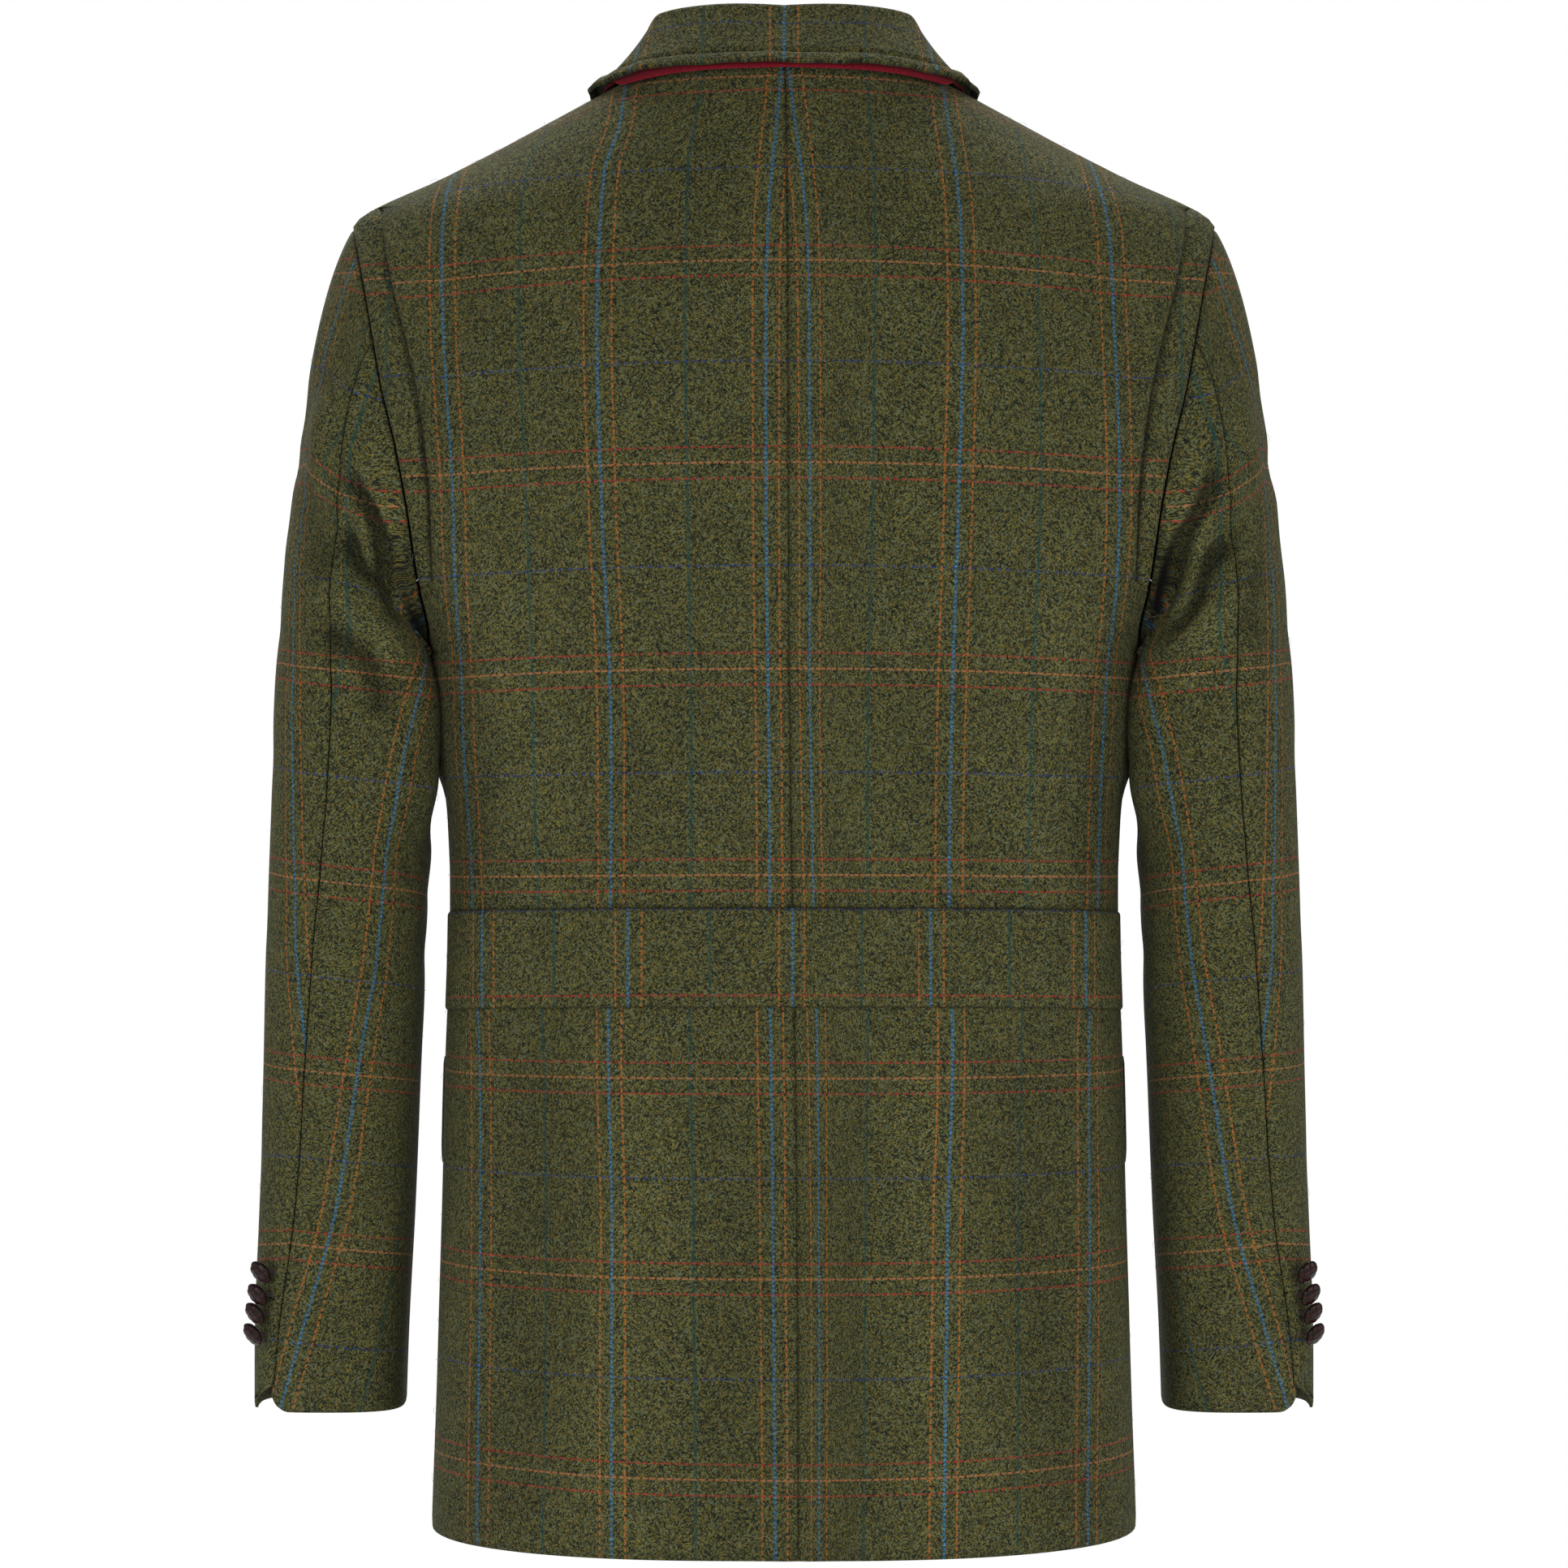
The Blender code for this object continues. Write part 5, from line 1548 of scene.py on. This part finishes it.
def make_fuzz():
    """Stray pale fibres that stand off the cloth."""
    paths = []
    for outer, normals in SURFACES:
        rows, columns = outer.shape[:2]
        area = cut_sizes(outer)[2]
        for _ in range(int(area * FUZZ_PER_AREA)):
            r, c = RANDOM.integers(1, rows - 2), RANDOM.integers(1, columns - 2)
            fr, fc = RANDOM.random(2)
            spot = (
                outer[r, c] * (1 - fr) * (1 - fc) + outer[r + 1, c] * fr * (1 - fc)
                + outer[r, c + 1] * (1 - fr) * fc + outer[r + 1, c + 1] * fr * fc
            )
            up = normals[r, c]
            lie = unit(np.cross(up, RANDOM.normal(size=3)))
            turn = unit(np.cross(up, lie))
            length = RANDOM.uniform(*FUZZ_LENGTHS)
            curl = RANDOM.uniform(*FUZZ_CURLS)
            stand = RANDOM.uniform(*FUZZ_STANDS)
            share = np.linspace(0, 1, FUZZ_POINTS)[:, None]
            path = spot + length * (
                share * lie + curl * share**2 * turn
                + stand * FUZZ_ARCH * np.sin(np.pi * share * FUZZ_ARCH_END) * up
            )
            paths.append(path)
    tubes("stray_fibres", paths, FUZZ_RADIUS, MATERIALS["fibre"], sides=3)


class Graph:
    """A material's nodes, joined by short calls."""

    def __init__(self, name):
        self.material = bpy.data.materials.new(name)
        self.material.use_nodes = True
        self.nodes = self.material.node_tree.nodes
        self.links = self.material.node_tree.links
        self.shader = self.nodes["Principled BSDF"]

    def put(self, socket, value):
        if isinstance(value, bpy.types.NodeSocket):
            self.links.new(value, socket)
        else:
            socket.default_value = value

    def math(self, operation, *values):
        node = self.nodes.new("ShaderNodeMath")
        node.operation = operation
        for socket, value in zip(node.inputs, values):
            self.put(socket, value)
        return node.outputs[0]

    def soft(self, value, low, high):
        """1 below low, 0 above high."""
        node = self.nodes.new("ShaderNodeMapRange")
        node.interpolation_type = "SMOOTHSTEP"
        ends = {"From Min": low, "From Max": high, "To Min": 1.0, "To Max": 0.0}
        for name, number in ends.items():
            node.inputs[name].default_value = number
        self.put(node.inputs["Value"], value)
        return node.outputs["Result"]

    def vector(self, x, y, z=0.0):
        node = self.nodes.new("ShaderNodeCombineXYZ")
        for socket, value in zip(node.inputs, (x, y, z)):
            self.put(socket, value)
        return node.outputs[0]

    def cells(self, vector):
        """Random values, one set to a cell."""
        node = self.nodes.new("ShaderNodeTexVoronoi")
        node.voronoi_dimensions = "2D"
        node.inputs["Scale"].default_value = 1.0
        self.put(node.inputs["Vector"], vector)
        parts = self.nodes.new("ShaderNodeSeparateColor")
        self.links.new(node.outputs["Color"], parts.inputs[0])
        return parts.outputs

    def place(self):
        return self.nodes.new("ShaderNodeTexCoord").outputs["Object"]

    def painted(self, name):
        """A number that is kept at each point of the mesh."""
        node = self.nodes.new("ShaderNodeAttribute")
        node.attribute_name = name
        return node.outputs["Fac"]

    def noise(self, vector, scale, detail):
        node = self.nodes.new("ShaderNodeTexNoise")
        node.inputs["Scale"].default_value = scale
        node.inputs["Detail"].default_value = detail
        self.put(node.inputs["Vector"], vector)
        return node.outputs[0]

    def ramp(self, value, stops):
        node = self.nodes.new("ShaderNodeValToRGB")
        elements = node.color_ramp.elements
        while len(elements) < len(stops):
            elements.new(0.5)
        for element, (place, colour) in zip(elements, stops):
            element.position = place
            element.color = (*colour, 1.0)
        self.put(node.inputs[0], value)
        return node.outputs[0]

    def mix(self, share, first, second, blend="MIX"):
        node = self.nodes.new("ShaderNodeMix")
        node.data_type = "RGBA"
        node.blend_type = blend
        sockets = [s for s in node.inputs if s.type == "RGBA"]
        self.put(node.inputs["Factor"], share)
        for socket, value in zip(sockets, (first, second)):
            self.put(socket, value if isinstance(value, bpy.types.NodeSocket) else (*value, 1.0))
        return [s for s in node.outputs if s.type == "RGBA"][0]

    def times(self, colour, value):
        """The colour made darker or lighter by a plain number."""
        grey = self.nodes.new("ShaderNodeCombineColor")
        for socket in grey.inputs:
            self.put(socket, value)
        return self.mix(1.0, colour, grey.outputs[0], "MULTIPLY")

    def bump(self, height, strength, distance):
        node = self.nodes.new("ShaderNodeBump")
        node.inputs["Strength"].default_value = strength
        node.inputs["Distance"].default_value = distance
        self.put(node.inputs["Height"], height)
        self.links.new(node.outputs["Normal"], self.shader.inputs["Normal"])

    def surface(self, colour, **constants):
        self.put(self.shader.inputs["Base Color"], colour)
        for name, value in constants.items():
            self.shader.inputs[name.replace("_", " ")].default_value = value
        return self.material


# The weave: noises are scale and detail, wears are a fleck's share and the least share.
HERRING = 9.0
STRAY_NOISE = (0.45, 2.0)
STRAY_REACH = 2.4
STRIP_SHIFT = 31.7
CLOUD_NOISE = (0.035, 3.0)
CLOUD_SHADE = (0.34, 0.86)
RIB_SHADE = 0.07
RIB_BUMP = 0.35
FLECK_BUMP = 0.6
TWEED_BUMP = (0.55, 0.0005)
# How strongly the painted shade darkens the cloth's colour.
PAINTED_SHADE_DARKENING = -0.8
YARN_SPREAD = 1.85
WANDER_NOISE = (0.5, 1.0)
DASH_WANDER = 3.0
DASH_EDGE = (-0.15, 0.35)
LINE_WEAR = (0.5, 0.34)
TWIST_LENGTH = 1.5
TWIST_WIDTH = 0.5
TWINE_WANDER = 2.0
TWINE_LENGTH = 1.3
TWINE_EDGE = (0.35, 0.9)
PALE_WEAR = (0.8, 0.2)
BLUE_WEAR = (0.75, 0.2)
BLUE_EDGE = (0.55, 1.0)
FLECK_SIZE = (0.85, 1.7)
FINE_FLECK_SIZE = (0.5, 0.95)
RIB_SPACING = 2.2
YARN_COLOURS = (
    (0.00, (0.009, 0.012, 0.008)),
    (0.24, (0.024, 0.029, 0.018)),
    (0.46, (0.055, 0.057, 0.020)),
    (0.66, (0.084, 0.078, 0.021)),
    (0.82, (0.155, 0.120, 0.018)),
    (0.90, (0.225, 0.170, 0.022)),
    (1.00, (0.095, 0.130, 0.085)),
)
BLUE = (0.020, 0.085, 0.160)
PALE_BLUE = (0.070, 0.330, 0.560)
ORANGE = (0.480, 0.135, 0.022)
PEACH = (0.480, 0.170, 0.070)
RED = (0.380, 0.030, 0.028)
TEAL = (0.004, 0.060, 0.056)
FELT_TONES = ((0.25, (0.10, 0.003, 0.008)), (0.75, (0.24, 0.007, 0.018)))
LEATHER_TONES = ((0.3, (0.006, 0.0035, 0.0035)), (0.7, (0.018, 0.008, 0.007)))
LEATHER_GROOVE = (0.085, 0.016, 0.009)
THREAD_TONES = ((0.3, (0.020, 0.014, 0.010)), (0.7, (0.085, 0.062, 0.045)))
FIBRE_TONES = (
    (0.35, (0.15, 0.13, 0.05)), (0.5, (0.26, 0.25, 0.15)), (0.65, (0.20, 0.25, 0.24)),
)
FLOOR_TONES = ((0.3, (0.80, 0.80, 0.80)), (0.7, (0.84, 0.84, 0.84)))
NAVY = (0.018, 0.045, 0.190)


def tweed_material():
    """Speckled herringbone wool with its check of coloured yarns, darkened by painted shade."""
    g = Graph("olive_tweed_check")
    coords = g.nodes.new("ShaderNodeUVMap")
    coords.uv_map = "cloth"
    split = g.nodes.new("ShaderNodeSeparateXYZ")
    g.links.new(coords.outputs[0], split.inputs[0])
    u, v = (g.math("MULTIPLY", split.outputs[i], 1 / METRES) for i in range(2))
    zig = g.math("PINGPONG", u, HERRING)
    stray = g.math("MULTIPLY", g.noise(g.vector(u, v), *STRAY_NOISE), STRAY_REACH)
    strip = g.math("MULTIPLY", g.math("FLOOR", g.math("DIVIDE", u, HERRING)), STRIP_SHIFT)
    across = g.math("ADD", g.math("SUBTRACT", v, zig), stray)
    along = g.math("ADD", g.math("ADD", v, zig), strip)
    flecks, fine = (
        g.cells(g.vector(g.math("DIVIDE", across, wide), g.math("DIVIDE", along, long)))
        for wide, long in (FLECK_SIZE, FINE_FLECK_SIZE)
    )
    pick = g.math("ADD", g.math("MULTIPLY", flecks[0], 0.5), g.math("MULTIPLY", fine[0], 0.5))
    spread = g.math("MULTIPLY_ADD", g.math("SUBTRACT", pick, 0.5), YARN_SPREAD, 0.5)
    yarn = g.ramp(spread, YARN_COLOURS)
    rib = g.math("SINE", g.math("MULTIPLY", across, 2 * math.pi / RIB_SPACING))
    cloud = g.math("MULTIPLY_ADD", g.noise(g.vector(u, v), *CLOUD_NOISE), *CLOUD_SHADE)
    shade = g.math("MULTIPLY_ADD", rib, RIB_SHADE, cloud)
    # Painted shade: the mesh's per-point shade values darken the colour after the check lines are
    # laid in.
    painted_shade_factor = g.math("MULTIPLY_ADD", g.painted("turned_in"), PAINTED_SHADE_DARKENING, 1.0)
    colour = check_lines(g, u, v, fine, g.times(yarn, shade))
    colour = g.times(colour, painted_shade_factor)
    fleck_height = g.math("MULTIPLY", fine[1], FLECK_BUMP)
    g.bump(g.math("ADD", fleck_height, g.math("MULTIPLY", rib, RIB_BUMP)), *TWEED_BUMP)
    return g.surface(
        colour, Roughness=0.92, Specular_IOR_Level=0.18, Sheen_Weight=0.05,
        Sheen_Roughness=0.45, Sheen_Tint=(0.72, 0.74, 0.58, 1.0),
    )


def check_lines(g, u, v, fine, colour):
    """Blue and orange lines with a teal one between, over red, orange and navy ones."""
    du = g.math("WRAP", u, CHECK_WIDTH / 2, -CHECK_WIDTH / 2)
    dv = g.math("WRAP", v, CHECK_HEIGHT / 2, -CHECK_HEIGHT / 2)
    half_u = g.math("SUBTRACT", CHECK_WIDTH / 2, g.math("ABSOLUTE", du))
    half_v = g.math("SUBTRACT", CHECK_HEIGHT / 2, g.math("ABSOLUTE", dv))
    side_u = g.math("ABSOLUTE", g.math("SUBTRACT", g.math("ABSOLUTE", du), CHECK_ORANGE_OFF))
    side_v = g.math("ABSOLUTE", g.math("SUBTRACT", g.math("ABSOLUTE", dv), CHECK_RED_OFF))
    wander = g.noise(g.vector(u, v), *WANDER_NOISE)

    def dashes(place, period, share):
        phase = g.math("MULTIPLY_ADD", wander, DASH_WANDER, place)
        wave = g.math("PINGPONG", phase, period / 2)
        return g.soft(wave, *(period / 2 * share + edge for edge in DASH_EDGE))

    twist = g.math("SUBTRACT", g.math("PINGPONG", v, TWIST_LENGTH), TWIST_LENGTH / 2)
    blue_at = g.math("ABSOLUTE", g.math("MULTIPLY_ADD", twist, TWIST_WIDTH, du))
    worn = g.math("MULTIPLY_ADD", fine[2], *LINE_WEAR)
    # Each line's mask and colour, then the run, the length and the share of its dashes.
    lines = (
        (g.soft(half_u, 0.5, 0.9), TEAL, v, 5.0, 0.95),
        (g.soft(half_v, 0.3, 0.7), NAVY, u, 5.0, 0.5),
        (g.soft(side_u, 0.35, 0.72), ORANGE, v, 4.0, 0.58),
        (g.soft(side_v, 0.35, 0.70), RED, u, 4.2, 0.58),
        (g.soft(g.math("ABSOLUTE", dv), 0.35, 0.70), PEACH, u, 4.2, 0.66),
    )
    for mask, shade, place, period, share in lines:
        broken = g.math("MULTIPLY", mask, dashes(place, period, share))
        colour = g.mix(g.math("MULTIPLY", broken, worn), colour, shade)
    twine = g.math("PINGPONG", g.math("MULTIPLY_ADD", wander, TWINE_WANDER, v), TWINE_LENGTH)
    twine = g.soft(twine, *TWINE_EDGE)
    pale = g.math("MULTIPLY", twine, g.math("MULTIPLY_ADD", fine[1], *PALE_WEAR))
    blue = g.mix(pale, BLUE, PALE_BLUE)
    solid_share = g.math("MULTIPLY_ADD", fine[2], *BLUE_WEAR)
    return g.mix(g.math("MULTIPLY", g.soft(blue_at, *BLUE_EDGE), solid_share), colour, blue)


def felt_material():
    g = Graph("red_felt_fuzzy")
    place = g.place()
    clumps = g.noise(place, 900.0, 4.0)
    colour = g.ramp(clumps, FELT_TONES)
    g.bump(g.noise(place, 2600.0, 3.0), 0.5, 0.0004)
    return g.surface(colour, Roughness=0.95, Specular_IOR_Level=0.15, Sheen_Weight=0.15,
                     Sheen_Tint=(0.9, 0.3, 0.3, 1.0))


def leather_material():
    g = Graph("woven_brown_leather")
    place = g.place()
    worn = g.noise(place, 420.0, 4.0)
    dark = g.ramp(worn, LEATHER_TONES)
    edge = g.soft(g.math("SUBTRACT", 1.0, g.painted("groove")), 0.25, 0.72)
    colour = g.mix(g.math("MULTIPLY", edge, 0.8), dark, LEATHER_GROOVE)
    g.bump(g.noise(place, 2200.0, 3.0), 0.25, 0.0003)
    return g.surface(colour, Roughness=0.20, Specular_IOR_Level=0.18)


def mottled_material(name, scale, detail, stops, roughness):
    """A plain surface whose tones lie in soft patches."""
    g = Graph(name)
    colour = g.ramp(g.noise(g.place(), scale, detail), stops)
    return g.surface(colour, Roughness=roughness)


def make_floor():
    angles = np.linspace(0, 2 * math.pi, FLOOR_CORNERS, endpoint=False)
    x, y = FLOOR_RADIUS * np.cos(angles), FLOOR_RADIUS * np.sin(angles)
    ring = np.stack((x, y, np.full_like(x, FLOOR_Z)), axis=-1)
    data = bpy.data.meshes.new("floor")
    data.from_pydata((ring * METRES).tolist(), [], [list(range(FLOOR_CORNERS))])
    data.materials.append(mottled_material("pale_floor", 2.0, 2.0, FLOOR_TONES, 0.6))
    floor = bpy.data.objects.new("floor", data)
    bpy.context.scene.collection.objects.link(floor)


def add_light(name, place, size, power):
    data = bpy.data.lights.new(name, "AREA")
    data.shape = "RECTANGLE"
    data.size, data.size_y = size
    data.energy = power
    light = bpy.data.objects.new(name, data)
    light.location = place
    aim = Vector(LIGHT_AIM) - Vector(place)
    light.rotation_euler = aim.to_track_quat("-Z", "Y").to_euler()
    bpy.context.scene.collection.objects.link(light)


def make_world():
    world = bpy.data.worlds.new("studio")
    bpy.context.scene.world = world
    world.use_nodes = True
    nodes, links = world.node_tree.nodes, world.node_tree.links
    fill = nodes["Background"]
    paper = nodes.new("ShaderNodeBackground")
    for background, strength in ((fill, WORLD_FILL), (paper, 1.0)):
        background.inputs["Color"].default_value = (1.0, 1.0, 1.0, 1.0)
        background.inputs["Strength"].default_value = strength
    pick = nodes.new("ShaderNodeMixShader")
    path = nodes.new("ShaderNodeLightPath")
    links.new(path.outputs["Is Camera Ray"], pick.inputs["Fac"])
    links.new(fill.outputs[0], pick.inputs[1])
    links.new(paper.outputs[0], pick.inputs[2])
    links.new(pick.outputs[0], nodes["World Output"].inputs["Surface"])


def make_studio():
    """Camera, soft lights and white surround as in the photo."""
    data = bpy.data.cameras.new("camera")
    data.sensor_width = 36.0
    data.sensor_fit = "HORIZONTAL"
    data.lens = data.sensor_width * CAMERA_DISTANCE / (PICTURE_PIXELS * PIXEL_SIZE)
    camera = bpy.data.objects.new("camera", data)
    camera.location = (0.0, CAMERA_DISTANCE * METRES, CAMERA_Z * METRES)
    camera.rotation_euler = (math.radians(90), 0.0, math.radians(180))
    bpy.context.scene.collection.objects.link(camera)
    bpy.context.scene.camera = camera
    bpy.context.scene.view_settings.view_transform = "Standard"
    for light in LIGHTS:
        add_light(*light)
    make_world()


MATERIALS = {
    "tweed": tweed_material(),
    "felt": felt_material(),
    "leather": leather_material(),
    "thread": mottled_material("dark_thread", 1500.0, 2.0, THREAD_TONES, 0.75),
    "fibre": mottled_material("pale_fibre", 60.0, 1.0, FIBRE_TONES, 0.8),
}
CUTS = []
SURFACES = []


def main():
    armpit, armpit_out = make_backs()
    pleat, pleat_out = make_underlays()
    front, front_out = make_fronts()
    edge = np.concatenate((armpit, pleat, front))
    make_sleeves(edge, np.concatenate((armpit_out, pleat_out, front_out)))
    make_lapel("lapel_left", LEFT_LAPEL_LOWEST, closure_rise, 1)
    make_lapel("lapel_right", RIGHT_LAPEL_LOWEST, no_rise, -1)
    make_collar()
    make_flaps()
    make_buttons()
    make_fuzz()
    make_floor()
    make_studio()
    for node, width, length, area in CUTS:
        print(f"cut {node}: {width:.3f} x {length:.3f} m, {area:.4f} m2")


main()
